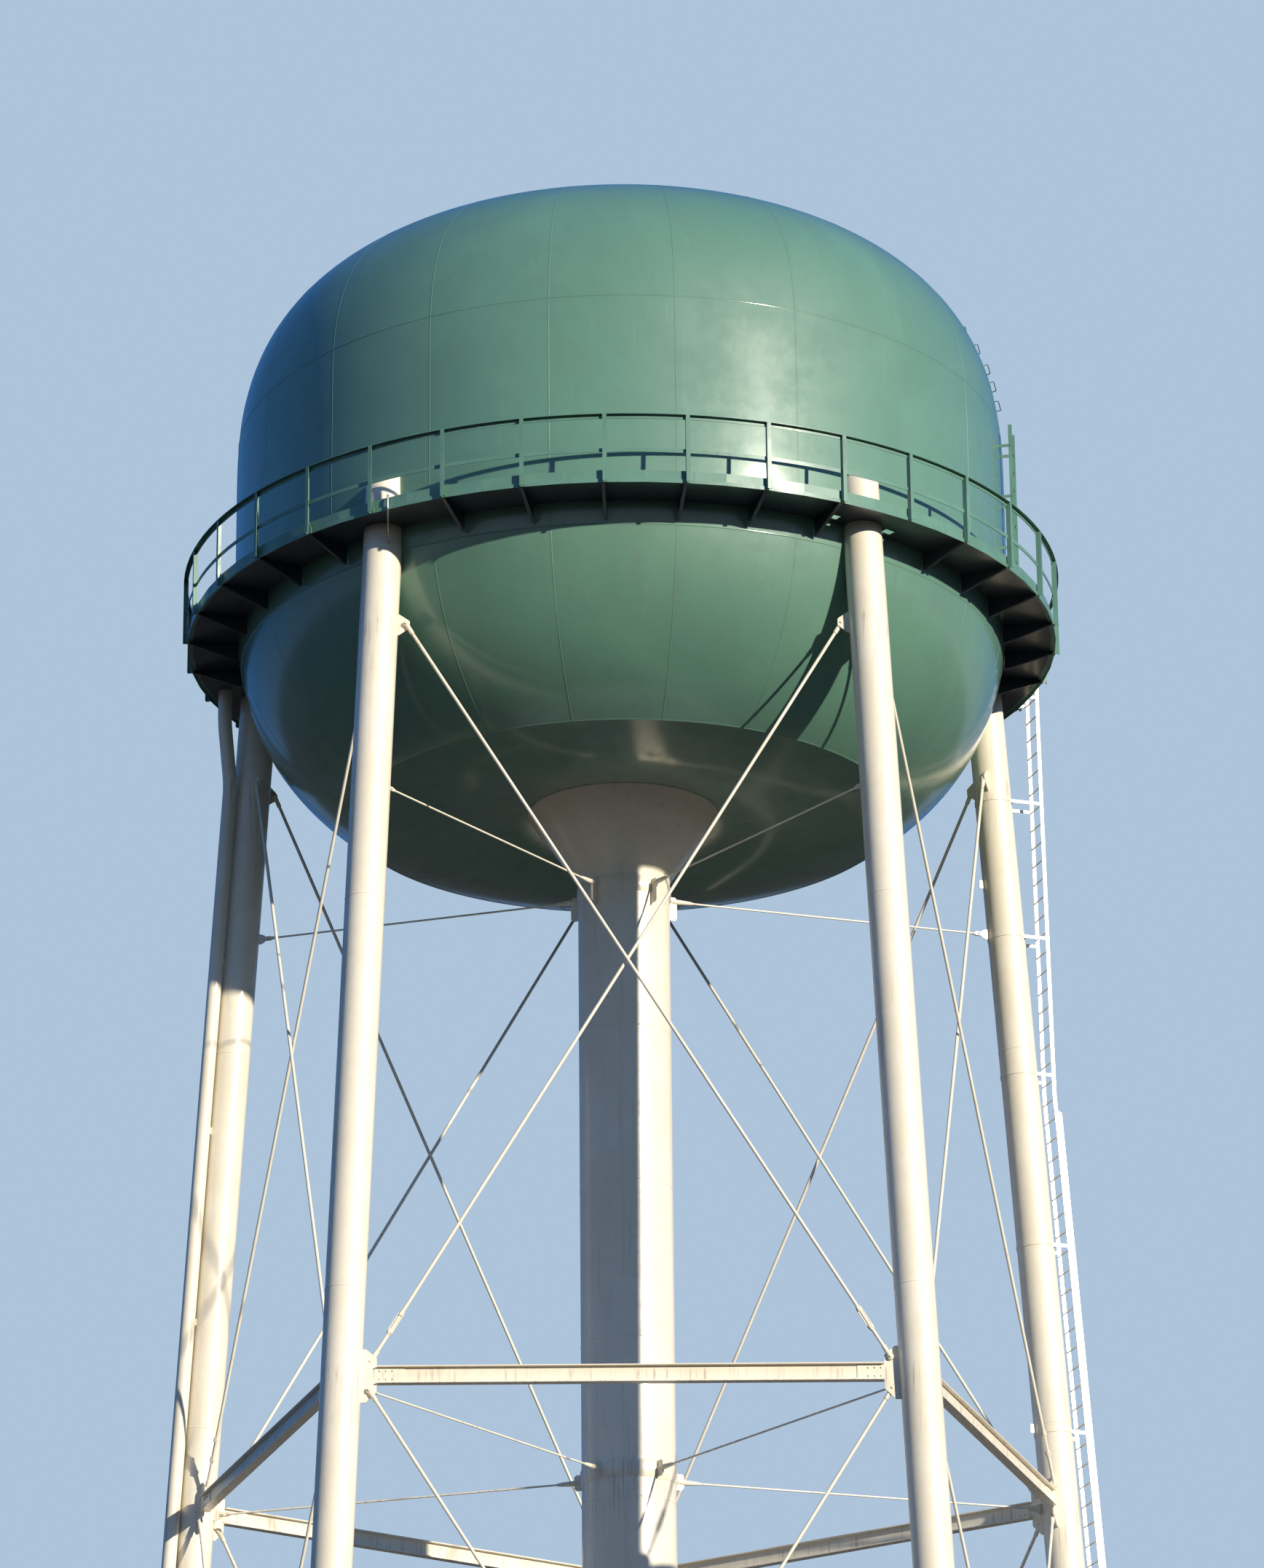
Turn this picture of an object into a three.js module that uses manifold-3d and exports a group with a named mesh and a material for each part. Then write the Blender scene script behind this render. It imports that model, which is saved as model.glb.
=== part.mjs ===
// An elevated water tank on five battered pipe legs around a central riser, in millimetres.
// +Z is up and the ground is z = 0. The origin is on the tower's axis, under the riser's footing.
// Azimuths are in degrees: 0 is the front, towards -Y, and they grow towards +X.
import * as THREE from "three";
import { mergeVertices } from "three/addons/utils/BufferGeometryUtils.js";
import Module from "manifold-3d";

const wasm = await Module();
wasm.setup();

// Levels above the ground
const PIER_TOP = 300;
const BALCONY = 26600;
const STRUT_LEVEL = BALCONY - 13115;
const UPPER_TIE_LEVEL = BALCONY - 4000;
const LOWER_TIE_LEVEL = STRUT_LEVEL - 80;
const TOP_LUG_LEVEL = BALCONY - 1500;
const FOOT_LUG_LEVEL = PIER_TOP + 420;
const SEAT_GAP = 0.3;

// Tank
const TANK_RADIUS = 6050;
const TANK_WALL = 25;
const TANK_SIDES = 50;
const ROOF_STEPS = 8;
const BOWL_STEPS = 3;
const KNUCKLE_STEPS = 3;
const DISH_STEPS = 3;
const ROOF_SEAM = BALCONY + 3380;
const ROOF_SPRING = BALCONY + 2550;
const ROOF_RISE = 4105;
const ROOF_POWER = 2.95;
const BOWL_SEAM = BALCONY - 300;
const KNUCKLE_TOP = BALCONY - 1900;
const BOWL_SPRING = BALCONY + 1091;
const BOWL_DROP = 4674;
const BOWL_POWER = 2.57;
const DISH_RADIUS = 4250;
const DISH_HOLE_RADIUS = 1400;
const DISH_RISE = 85;
const DISH_SAG = 190;
const VENT_NECK = 280;
const VENT_CAP = 450;
const HATCH_DISTANCE = 1900;
const HATCH_NECK = 330;
const HATCH_LID = 370;
const HATCH_HEIGHT = 120;

// Bell and riser
const BELL_RADIUS = 1475;
const BELL_RIM = BALCONY - 2680;
const BELL_FOOT = BALCONY - 3850;
const BELL_RIM_HEIGHT = 60;
const BELL_FOOT_HEIGHT = 140;
const BELL_FOOT_FLARE = 45;
const RISER_RADIUS = 706;
const RISER_SIDES = 25;
const RISER_FLANGE_RADIUS = 1000;
const RISER_PIER_RADIUS = 1350;
const PLATE = 40;
const FITTING_SIDES = 16;

// Legs
const LEG_COUNT = 5;
const LEG_STEP = 360 / LEG_COUNT;
const LEG_RADIUS = 290;
const LEG_SIDES = 20;
const LEG_CIRCLE_AT_BALCONY = 6069;
const LEG_BATTER = 0.0639;
const LEG_TOP = BALCONY + 910;
const LEG_CAP_SLOPE = 24;
const BASE_PLATE_SIDE = 900;
const PIER_SIDE = 1250;
const LUG_THICKNESS = 20;
const LUG_REACH = 170;
const STRUT_LUG_REACH = 210;
const PIN_REACH = 115;
const TIE_LUG_REACH = 120;
const TIE_LUG_HEIGHT = 160;
const TOP_LUG_HALF = 170;
const FOOT_LUG_HALF = 200;
const STRUT_LUG_BELOW = 400;
const STRUT_LUG_ABOVE = 380;

// Struts, brace rods and ties
const STRUT_DEPTH = 250;
const STRUT_WIDTH = 150;
const STRUT_FLANGE = 15;
const STRUT_WEB = 12;
const ROD_RADIUS = 25;
const ROD_SIDES = 8;
const PIN_ABOVE_STRUT = 210;
const PIN_BELOW_STRUT = 230;
const TIE_RADIUS = 15;
const TIE_SIDES = 6;
const COLLAR_HEIGHT = 280;
const COLLAR_WALL = 20;

// Balcony and handrail
const BAY_COUNT = 35;
const BAY_STEP = 360 / BAY_COUNT;
const BAYS_A_LENGTH = BAY_COUNT / LEG_COUNT;
const POST_AFTER_GATE = 11;
const FIRST_POST = -2.5;
const FLOOR_RADIUS = 6780;
const FLOOR_TOP = BALCONY + 57;
const FLOOR_PLATE = 12;
const FLOOR_OVERLAP = 150;
const FLOOR_SIDES = 70;
const TOE_BOARD_TOP = BALCONY + 200;
const TOE_BOARD_INSET = 20;
const RIB_DEPTH = 250;
const RIB_OVERLAP = 350;
const RIB_FOOT_INSET = 60;
const RIB_END_INSET = 30;
const RIB_END_RISE = 8;
const RIB_BITE = 2;
const RAIL_OUTSIDE = 6855;
const RAIL_HEIGHT = 1070;
const RAIL_SIZE = 65;
const MID_RAIL_HEIGHT = 530;
const MID_RAIL_SIZE = 60;
const RAIL_PLATE = 12;
const POST_WIDTH = 25;
const GATE_WIDTH = 610;

// Ladders and pipe
const LADDER_LEG = 3;
const LADDER_WIDTH = 410;
const LADDER_BAR_DEPTH = 60;
const LADDER_BAR = 12;
const LADDER_OFFSET = 475;
const LADDER_FOOT = 2400;
const LADDER_TOP_RADIUS = 6905;
const LADDER_HEAD_FOOT = BALCONY - 500;
const RUNG_STEP = 1220;
const RUNG_SIZE = 22;
const BRACKET_PLATE = 8;
const BRACKET_HEIGHT = 50;
const BRACKET_REACH = 400;
const BRACKET_END = 350;
const LOWER_BRACKETS_TOP = BALCONY - 9050;
const LOWER_BRACKET_STEPS = 5;
const UPPER_BRACKET_SHARES = [0.05, 0.42, 0.79];
const TANK_BRACKET_STEPS = 3;
const TANK_LADDER_AZIMUTH = 80;
const TANK_LADDER_OFFSET = 175;
const TANK_LADDER_TOP = ROOF_SEAM - 30;
const LEG_LADDER_BEND = BALCONY - 6600;
const LEG_LADDER_TOP = BALCONY + 1150;
const PIPE_LEG = 5;
const PIPE_RADIUS = 110;
const PIPE_SIDES = 10;
const PIPE_GAP = 30;
const PIPE_SIDE_AZIMUTH = -50;
const PIPE_TOP_AZIMUTH = -103.3;
const PIPE_TOP_RADIUS = 6460;
const PIPE_TOP_INSET = 100;
const PIPE_ENTRY = BALCONY + 450;
const PIPE_DROP_END = BALCONY - 500;
const PIPE_LEG_TOP = BALCONY - 1500;
const PIPE_LEG_FOOT = 900;
const PIPE_OUTLET = 500;
const PIPE_OUTLET_REACH = 330;
const PIPE_BEND = 180;
const PIPE_BEND_STEPS = 3;

const green = new THREE.MeshStandardMaterial({ color: 0x6f9f86, roughness: 0.35, metalness: 0.1 });
const darkGreen = new THREE.MeshStandardMaterial({ color: 0x4f8069, roughness: 0.45, metalness: 0.1 });
const cream = new THREE.MeshStandardMaterial({ color: 0xe9dcbc, roughness: 0.4, metalness: 0.1 });
const concrete = new THREE.MeshStandardMaterial({ color: 0xa9a59b, roughness: 0.9, metalness: 0 });

const rad = THREE.MathUtils.degToRad;

// A closed geometry as a solid, with its shared vertices merged and its collapsed faces dropped
function solidOf(geometry) {
  const bare = geometry.clone();
  for (const name of Object.keys(bare.attributes)) {
    if (name !== "position") bare.deleteAttribute(name);
  }
  const merged = mergeVertices(bare, 1e-3);
  const index = merged.index.array;
  const kept = [];
  for (let i = 0; i < index.length; i += 3) {
    const [a, b, c] = [index[i], index[i + 1], index[i + 2]];
    if (a !== b && b !== c && c !== a) kept.push(a, b, c);
  }
  return new wasm.Manifold(
    new wasm.Mesh({
      numProp: 3,
      vertProperties: new Float32Array(merged.attributes.position.array),
      triVerts: new Uint32Array(kept),
    }),
  );
}

// The flat-shaded geometry of a solid
function geometryOf(solid) {
  const { vertProperties, triVerts } = solid.getMesh();
  const geometry = new THREE.BufferGeometry();
  geometry.setAttribute("position", new THREE.BufferAttribute(new Float32Array(vertProperties), 3));
  geometry.setIndex(new THREE.BufferAttribute(new Uint32Array(triVerts), 1));
  geometry.computeVertexNormals();
  return geometry;
}

function joined(geometries) {
  return geometries.map(solidOf).reduce((whole, piece) => whole.add(piece));
}

function meshOf(name, solid, material) {
  const mesh = new THREE.Mesh(geometryOf(solid), material);
  mesh.name = name;
  return mesh;
}

// Turns a geometry about the tower's axis to an azimuth
function turned(geometry, azimuth) {
  return geometry.clone().rotateZ(rad(azimuth));
}

// A solid of revolution about Z: the profile is a closed loop of [radius, height], clockwise
function revolved(profile, sides) {
  const points = [...profile, profile[0]].map(([r, z]) => new THREE.Vector2(Math.max(r, 0), z));
  return new THREE.LatheGeometry(points, sides).rotateX(Math.PI / 2);
}

// A prism between two points; its first side faces along facing
function prism(from, to, radius, sides, facing) {
  const along = new THREE.Vector3().subVectors(to, from);
  const apothemRadius = radius / Math.cos(Math.PI / sides);
  const geometry = new THREE.CylinderGeometry(apothemRadius, apothemRadius, along.length(), sides);
  geometry.rotateY(Math.PI / sides);
  return geometry.applyMatrix4(frameAlong(from, to, facing));
}

// A box between two points, its width along facing
function bar(from, to, width, depth, facing) {
  const length = from.distanceTo(to);
  return new THREE.BoxGeometry(depth, length, width).applyMatrix4(frameAlong(from, to, facing));
}

// Local Y runs from one point to the other, local Z lies towards facing, and the middle is the origin
function frameAlong(from, to, facing) {
  const y = new THREE.Vector3().subVectors(to, from).normalize();
  const z = facing.clone().addScaledVector(y, -facing.dot(y)).normalize();
  const x = new THREE.Vector3().crossVectors(y, z);
  const middle = new THREE.Vector3().addVectors(from, to).multiplyScalar(0.5);
  return new THREE.Matrix4().makeBasis(x, y, z).setPosition(middle);
}

// A point at an azimuth, a radius and a height
function polar(azimuth, radius, height) {
  return new THREE.Vector3(radius * Math.sin(rad(azimuth)), -radius * Math.cos(rad(azimuth)), height);
}

// A plate in the upright plane at an azimuth, from an outline of [radius, height]
function uprightPlate(outline, thickness, azimuth) {
  const shape = new THREE.Shape(outline.map(([r, z]) => new THREE.Vector2(r, z)));
  const plate = new THREE.ExtrudeGeometry(shape, { depth: thickness, bevelEnabled: false });
  plate.translate(0, 0, -thickness / 2);
  plate.rotateX(Math.PI / 2);
  return plate.rotateZ(rad(azimuth - 90));
}

// Tank outline

function headPoint(spring, rise, power, angle) {
  const r = TANK_RADIUS * Math.max(Math.cos(angle), 0) ** (2 / power);
  const z = spring + rise * Math.sin(angle) ** (2 / power);
  return [r, z];
}

// The angle at which a head passes a given share of its rise
function headAngle(share, power) {
  return Math.asin(share ** (power / 2));
}

function roofLine(steps) {
  const start = headAngle((ROOF_SEAM - ROOF_SPRING) / ROOF_RISE, ROOF_POWER);
  return spread(start, Math.PI / 2, steps).map((a) => headPoint(ROOF_SPRING, ROOF_RISE, ROOF_POWER, a));
}

function shellLine() {
  const lower = [BOWL_SEAM, FLOOR_TOP].map((z) => bowlPoint(bowlAngle(z)));
  return [...lower, [TANK_RADIUS, BOWL_SPRING], [TANK_RADIUS, ROOF_SPRING], roofLine(1)[0]];
}

function bowlAngle(height) {
  return headAngle((BOWL_SPRING - height) / BOWL_DROP, BOWL_POWER);
}

function bowlPoint(angle) {
  return headPoint(BOWL_SPRING, -BOWL_DROP, BOWL_POWER, angle);
}

// The bowl below the shell, from the knuckle up to the shell's weld
function bowlLine() {
  return spread(bowlAngle(KNUCKLE_TOP), bowlAngle(BOWL_SEAM), BOWL_STEPS).map(bowlPoint);
}

// The knuckle, from the dished bottom plate up to the bowl
function knuckleLine(steps) {
  const start = Math.acos((DISH_RADIUS / TANK_RADIUS) ** (BOWL_POWER / 2));
  return spread(start, bowlAngle(KNUCKLE_TOP), steps).map(bowlPoint);
}

// The bottom plate sags between the knuckle and the bell, and rises a little to the bell
function dishPoint(radius) {
  const edge = knuckleLine(1)[0][1];
  const t = (DISH_RADIUS - radius) / (DISH_RADIUS - DISH_HOLE_RADIUS);
  return [radius, edge + DISH_RISE * t - 4 * DISH_SAG * t * (1 - t)];
}

function dishLine(steps) {
  return spread(DISH_HOLE_RADIUS, DISH_RADIUS, steps).map(dishPoint);
}

function spread(from, to, steps) {
  return Array.from({ length: steps + 1 }, (_, i) => from + ((to - from) * i) / steps);
}

// Moves a line of [radius, height] sideways by a distance, inwards where it is positive
function shifted(line, distance) {
  return line.map(([r, z], i) => {
    const [r0, z0] = line[Math.max(i - 1, 0)];
    const [r1, z1] = line[Math.min(i + 1, line.length - 1)];
    const length = Math.hypot(r1 - r0, z1 - z0);
    const nr = (z0 - z1) / length;
    const nz = (r1 - r0) / length;
    return [Math.max(r + nr * distance, 0), z + nz * distance];
  });
}

// The whole outside of the tank as one solid, grown a little, for seating other pieces on it
function tankEnvelope() {
  const below = [...dishLine(DISH_STEPS), ...knuckleLine(KNUCKLE_STEPS).slice(1), ...bowlLine().slice(1)];
  const above = [...shellLine().slice(1), ...roofLine(ROOF_STEPS).slice(1)];
  const grown = shifted([...below, ...above], -SEAT_GAP);
  const profile = [[0, grown[0][1]], ...grown.slice(0, -1), [0, ROOF_SPRING + ROOF_RISE + SEAT_GAP]];
  return solidOf(revolved(profile, TANK_SIDES));
}

// The inner line of a wall, with an end moved level at the edges that weld to the next plate
function innerLine(line, levelEnds) {
  const inner = shifted(line, TANK_WALL);
  for (const i of levelEnds) inner[i] = [line[i][0] - TANK_WALL, line[i][1]];
  return inner.reverse();
}

function makeRoof() {
  const line = roofLine(ROOF_STEPS);
  const inner = innerLine(line, [0]);
  inner[0] = [0, ROOF_SPRING + ROOF_RISE - TANK_WALL];
  return solidOf(revolved([...line, ...inner], TANK_SIDES));
}

// A ring of the tank's wall, level at both edges and seated just below the next ring
function makeRing(line) {
  const last = line.length - 1;
  line[last][1] -= SEAT_GAP;
  return solidOf(revolved([...line, ...innerLine(line, [0, last])], TANK_SIDES));
}

// A ring's quarters, named by the sides that they face, with seams on the diagonals
function quarters(ring) {
  const reach = 2 * TANK_RADIUS;
  const right = new THREE.Vector2(reach, -reach);
  const left = new THREE.Vector2(-reach, -reach);
  const shape = new THREE.Shape([new THREE.Vector2(0, 0), right, left]);
  const wedge = new THREE.ExtrudeGeometry(shape, { depth: BALCONY, bevelEnabled: false });
  wedge.translate(0, -SEAT_GAP / 2, 0);
  const sides = ["front", "right", "back", "left"];
  return sides.map((side, i) => [side, ring.intersect(solidOf(turned(wedge, (360 / sides.length) * i)))]);
}

// The dished plate ends just inside the knuckle's wall
function makeDish() {
  const line = dishLine(DISH_STEPS);
  line[line.length - 1] = dishPoint(DISH_RADIUS - TANK_WALL - 1);
  const inner = line.map(([r, z]) => [r, z + TANK_WALL]).reverse();
  return solidOf(revolved([...line, ...inner], TANK_SIDES));
}

function makeBell(envelope) {
  const outside = [
    [RISER_RADIUS, BELL_FOOT],
    [RISER_RADIUS + BELL_FOOT_FLARE, BELL_FOOT + BELL_FOOT_HEIGHT],
    [BELL_RADIUS, BELL_RIM],
    [BELL_RADIUS, BELL_RIM + BELL_RIM_HEIGHT],
  ];
  const inside = outside.map(([r, z]) => [r - TANK_WALL, z]).reverse();
  return solidOf(revolved([...outside, ...inside], RISER_SIDES)).subtract(envelope);
}

function makeRiser() {
  const bottom = PIER_TOP + SEAT_GAP;
  return solidOf(
    revolved(
      [
        [0, bottom],
        [RISER_FLANGE_RADIUS, bottom],
        [RISER_FLANGE_RADIUS, bottom + PLATE],
        [RISER_RADIUS, bottom + PLATE],
        [RISER_RADIUS, BELL_FOOT - SEAT_GAP],
        [0, BELL_FOOT - SEAT_GAP],
      ],
      RISER_SIDES,
    ),
  );
}

// Roof fittings

function makeVent() {
  const foot = ROOF_SPRING + ROOF_RISE + SEAT_GAP;
  return solidOf(
    revolved(
      [
        [0, foot],
        [VENT_NECK, foot],
        [VENT_NECK, foot + VENT_NECK],
        [VENT_CAP, foot + VENT_NECK],
        [VENT_CAP, foot + VENT_NECK + PLATE],
        [0, foot + VENT_CAP],
      ],
      FITTING_SIDES,
    ),
  );
}

function makeHatch(envelope) {
  const centre = polar(TANK_LADDER_AZIMUTH, HATCH_DISTANCE, ROOF_SPRING + ROOF_RISE + HATCH_HEIGHT);
  const neck = new THREE.CylinderGeometry(HATCH_NECK, HATCH_NECK, HATCH_DISTANCE / 2, FITTING_SIDES);
  const lid = new THREE.CylinderGeometry(HATCH_LID, HATCH_LID, PLATE, FITTING_SIDES);
  neck.rotateX(Math.PI / 2).translate(centre.x, centre.y, centre.z - HATCH_DISTANCE / 4);
  lid.rotateX(Math.PI / 2).translate(centre.x, centre.y, centre.z);
  return joined([neck, lid]).subtract(envelope);
}

// Legs

function legCircle(height) {
  return LEG_CIRCLE_AT_BALCONY + LEG_BATTER * (BALCONY - height);
}

function legPoint(height, azimuth = 0) {
  return polar(azimuth, legCircle(height), height);
}

function legTube(radius) {
  const inward = new THREE.Vector3(0, 1, 0);
  const top = legPoint(LEG_TOP + LEG_RADIUS);
  return prism(legPoint(PIER_TOP + SEAT_GAP + PLATE / 2), top, radius, LEG_SIDES, inward);
}

// Everything above the leg's slanted cap, which rises towards the tank
function aboveCap() {
  const side = 8 * LEG_RADIUS;
  const above = new THREE.BoxGeometry(side, side, side).translate(0, 0, side / 2).rotateX(rad(LEG_CAP_SLOPE));
  const { y, z } = legPoint(LEG_TOP);
  return solidOf(above.translate(0, y, z));
}

// Unit vectors in the plane of a side of the tower, seen from the leg at azimuth 0
function sideVectors(hand) {
  const out = new THREE.Vector3(hand * Math.cos(rad(LEG_STEP / 2)), Math.sin(rad(LEG_STEP / 2)), 0);
  const up = new THREE.Vector3().subVectors(legPoint(BALCONY), legPoint(0)).normalize();
  const normal = new THREE.Vector3().crossVectors(out, up).normalize();
  return { out, up, normal };
}

// A lug plate on one side of the leg, from low to high
function sideLug(low, high, reach, hand) {
  const { out, normal } = sideVectors(hand);
  const width = LEG_RADIUS + reach;
  const bottom = legPoint(low).addScaledVector(out, width / 2);
  const top = legPoint(high).addScaledVector(out, width / 2);
  return bar(bottom, top, LUG_THICKNESS, width, normal);
}

function tieLug(level) {
  const end = legPoint(level).add(new THREE.Vector3(0, LEG_RADIUS + TIE_LUG_REACH, 0));
  return bar(legPoint(level), end, LUG_THICKNESS, TIE_LUG_HEIGHT, new THREE.Vector3(1, 0, 0));
}

function makeLeg(envelope) {
  const foot = legPoint(PIER_TOP);
  const plate = new THREE.BoxGeometry(BASE_PLATE_SIDE, BASE_PLATE_SIDE, PLATE);
  plate.translate(0, foot.y, PIER_TOP + SEAT_GAP + PLATE / 2);
  const pieces = [legTube(LEG_RADIUS), plate, tieLug(UPPER_TIE_LEVEL), tieLug(LOWER_TIE_LEVEL)];
  for (const hand of [-1, 1]) {
    pieces.push(sideLug(TOP_LUG_LEVEL - TOP_LUG_HALF, TOP_LUG_LEVEL + TOP_LUG_HALF, LUG_REACH, hand));
    pieces.push(sideLug(STRUT_LEVEL - STRUT_LUG_BELOW, STRUT_LEVEL + STRUT_LUG_ABOVE, STRUT_LUG_REACH, hand));
    pieces.push(sideLug(FOOT_LUG_LEVEL - FOOT_LUG_HALF, FOOT_LUG_LEVEL + FOOT_LUG_HALF, LUG_REACH, hand));
  }
  return joined(pieces).subtract(aboveCap()).subtract(envelope);
}

function makePier() {
  const pier = new THREE.BoxGeometry(PIER_SIDE, PIER_SIDE, PIER_TOP);
  return solidOf(pier.translate(0, -legCircle(PIER_TOP), PIER_TOP / 2));
}

function makeRiserPier() {
  const profile = [
    [0, 0],
    [RISER_PIER_RADIUS, 0],
    [RISER_PIER_RADIUS, PIER_TOP],
    [0, PIER_TOP],
  ];
  return solidOf(revolved(profile, RISER_SIDES));
}

// Sides of the tower, drawn for the front side, between the legs at half a step left and right

function makeStrut() {
  const half = legCircle(STRUT_LEVEL + STRUT_DEPTH / 2) * Math.sin(rad(LEG_STEP / 2));
  const length = 2 * (half - LEG_RADIUS - STRUT_LUG_REACH - SEAT_GAP);
  const y = -legCircle(STRUT_LEVEL) * Math.cos(rad(LEG_STEP / 2));
  const [w, d] = [STRUT_WIDTH / 2, STRUT_DEPTH / 2];
  const [web, inner] = [STRUT_WEB / 2, STRUT_DEPTH / 2 - STRUT_FLANGE];
  const quarter = [
    [w, d],
    [w, inner],
    [web, inner],
  ];
  const right = [...quarter, ...[...quarter].reverse().map(([x, z]) => [x, -z])];
  const outline = [...right, ...[...right].reverse().map(([x, z]) => [-x, z])];
  const shape = new THREE.Shape(outline.map(([x, z]) => new THREE.Vector2(x, z)));
  const beam = new THREE.ExtrudeGeometry(shape, { depth: length, bevelEnabled: false });
  beam.translate(0, 0, -length / 2).rotateX(Math.PI / 2).rotateZ(Math.PI / 2);
  return solidOf(beam.translate(0, y, STRUT_LEVEL));
}

// A brace rod from a pin near one leg to a pin lower down near the other, on one face of the lugs
function makeRod(high, low, hand) {
  const across = new THREE.Vector3(hand, 0, 0);
  const start = legPoint(high, (-hand * LEG_STEP) / 2).addScaledVector(across, LEG_RADIUS + PIN_REACH);
  const end = legPoint(low, (hand * LEG_STEP) / 2).addScaledVector(across, -LEG_RADIUS - PIN_REACH);
  const slope = LEG_BATTER * Math.cos(rad(LEG_STEP / 2));
  const normal = new THREE.Vector3(0, -1, slope).normalize();
  const offset = hand * (LUG_THICKNESS / 2 + ROD_RADIUS + SEAT_GAP);
  start.addScaledVector(normal, offset);
  end.addScaledVector(normal, offset);
  return solidOf(prism(start, end, ROD_RADIUS, ROD_SIDES, normal));
}

// Five level ties from a collar on the riser to the lugs on the legs
function makeTies(level) {
  const inner = RISER_RADIUS + SEAT_GAP;
  const collar = revolved(
    [
      [inner, level - COLLAR_HEIGHT / 2],
      [inner + COLLAR_WALL, level - COLLAR_HEIGHT / 2],
      [inner + COLLAR_WALL, level + COLLAR_HEIGHT / 2],
      [inner, level + COLLAR_HEIGHT / 2],
    ],
    RISER_SIDES,
  );
  const pieces = [collar];
  const reach = legCircle(level) - LEG_RADIUS - TIE_LUG_REACH - SEAT_GAP;
  for (let i = 0; i < LEG_COUNT; i++) {
    const azimuth = LEG_STEP * (i - 0.5);
    const from = polar(azimuth, RISER_RADIUS + COLLAR_WALL / 2, level);
    const to = polar(azimuth, reach, level);
    pieces.push(prism(from, to, TIE_RADIUS, TIE_SIDES, new THREE.Vector3(0, 0, 1)));
  }
  return joined(pieces);
}

// Balcony

function postAzimuth(i) {
  return FIRST_POST + BAY_STEP * i;
}

function nearLeg(azimuth) {
  const fromLeg = (((azimuth + LEG_STEP / 2) % LEG_STEP) + LEG_STEP) % LEG_STEP;
  return Math.min(fromLeg, LEG_STEP - fromLeg) < BAY_STEP / 2 - 1;
}

// The floor and its ribs start inside the tank's outline, and are cut back to it
function makeBalcony(envelope) {
  const inner = TANK_RADIUS - FLOOR_OVERLAP;
  const under = FLOOR_TOP - FLOOR_PLATE;
  const floor = revolved(
    [
      [inner, under],
      [FLOOR_RADIUS - FLOOR_PLATE, under],
      [FLOOR_RADIUS - FLOOR_PLATE, BALCONY],
      [FLOOR_RADIUS, BALCONY],
      [FLOOR_RADIUS, FLOOR_TOP],
      [FLOOR_RADIUS - TOE_BOARD_INSET, FLOOR_TOP],
      [FLOOR_RADIUS - TOE_BOARD_INSET, TOE_BOARD_TOP],
      [FLOOR_RADIUS - TOE_BOARD_INSET - FLOOR_PLATE, TOE_BOARD_TOP],
      [FLOOR_RADIUS - TOE_BOARD_INSET - FLOOR_PLATE, FLOOR_TOP],
      [inner, FLOOR_TOP],
    ],
    FLOOR_SIDES,
  );
  const pieces = [turned(floor, FIRST_POST)];
  const rib = [
    [TANK_RADIUS - RIB_OVERLAP, under + RIB_BITE],
    [TANK_RADIUS - RIB_OVERLAP, BALCONY - RIB_DEPTH],
    [TANK_RADIUS - RIB_FOOT_INSET, BALCONY - RIB_DEPTH],
    [FLOOR_RADIUS - RIB_END_INSET, BALCONY + RIB_END_RISE],
    [FLOOR_RADIUS - RIB_END_INSET, under + RIB_BITE],
  ];
  for (let i = 0; i < BAY_COUNT; i++) {
    if (!nearLeg(postAzimuth(i))) pieces.push(uprightPlate(rib, FLOOR_PLATE, postAzimuth(i)));
  }
  let balcony = joined(pieces).subtract(envelope);
  const sleeve = legTube(LEG_RADIUS + SEAT_GAP * 2);
  for (let i = 0; i < LEG_COUNT; i++) {
    balcony = balcony.subtract(solidOf(turned(sleeve, LEG_STEP * (i - 0.5))));
  }
  const gate = new THREE.BoxGeometry(GATE_WIDTH, GATE_WIDTH, GATE_WIDTH);
  gate.translate(0, -FLOOR_RADIUS, FLOOR_TOP + GATE_WIDTH / 2);
  balcony = balcony.subtract(solidOf(turned(gate, legAzimuth(LADDER_LEG))));
  return balcony.subtract(solidOf(pipeTube(PIPE_RADIUS + SEAT_GAP * 2)));
}

// A rail between two posts, from its section as [distance inwards, distance down] from its top edge
function railBay(section, height, from, to) {
  const [start, end] = [from, to].map((azimuth) => polar(azimuth, RAIL_OUTSIDE, BALCONY + height));
  const shape = new THREE.Shape(section.map(([inwards, down]) => new THREE.Vector2(down, inwards)));
  const rail = new THREE.ExtrudeGeometry(shape, { depth: start.distanceTo(end), bevelEnabled: false });
  const along = new THREE.Vector3().subVectors(end, start).normalize();
  const down = new THREE.Vector3(0, 0, -1);
  const inwards = new THREE.Vector3().crossVectors(along, down);
  return rail.applyMatrix4(new THREE.Matrix4().makeBasis(down, inwards, along).setPosition(start));
}

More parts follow.
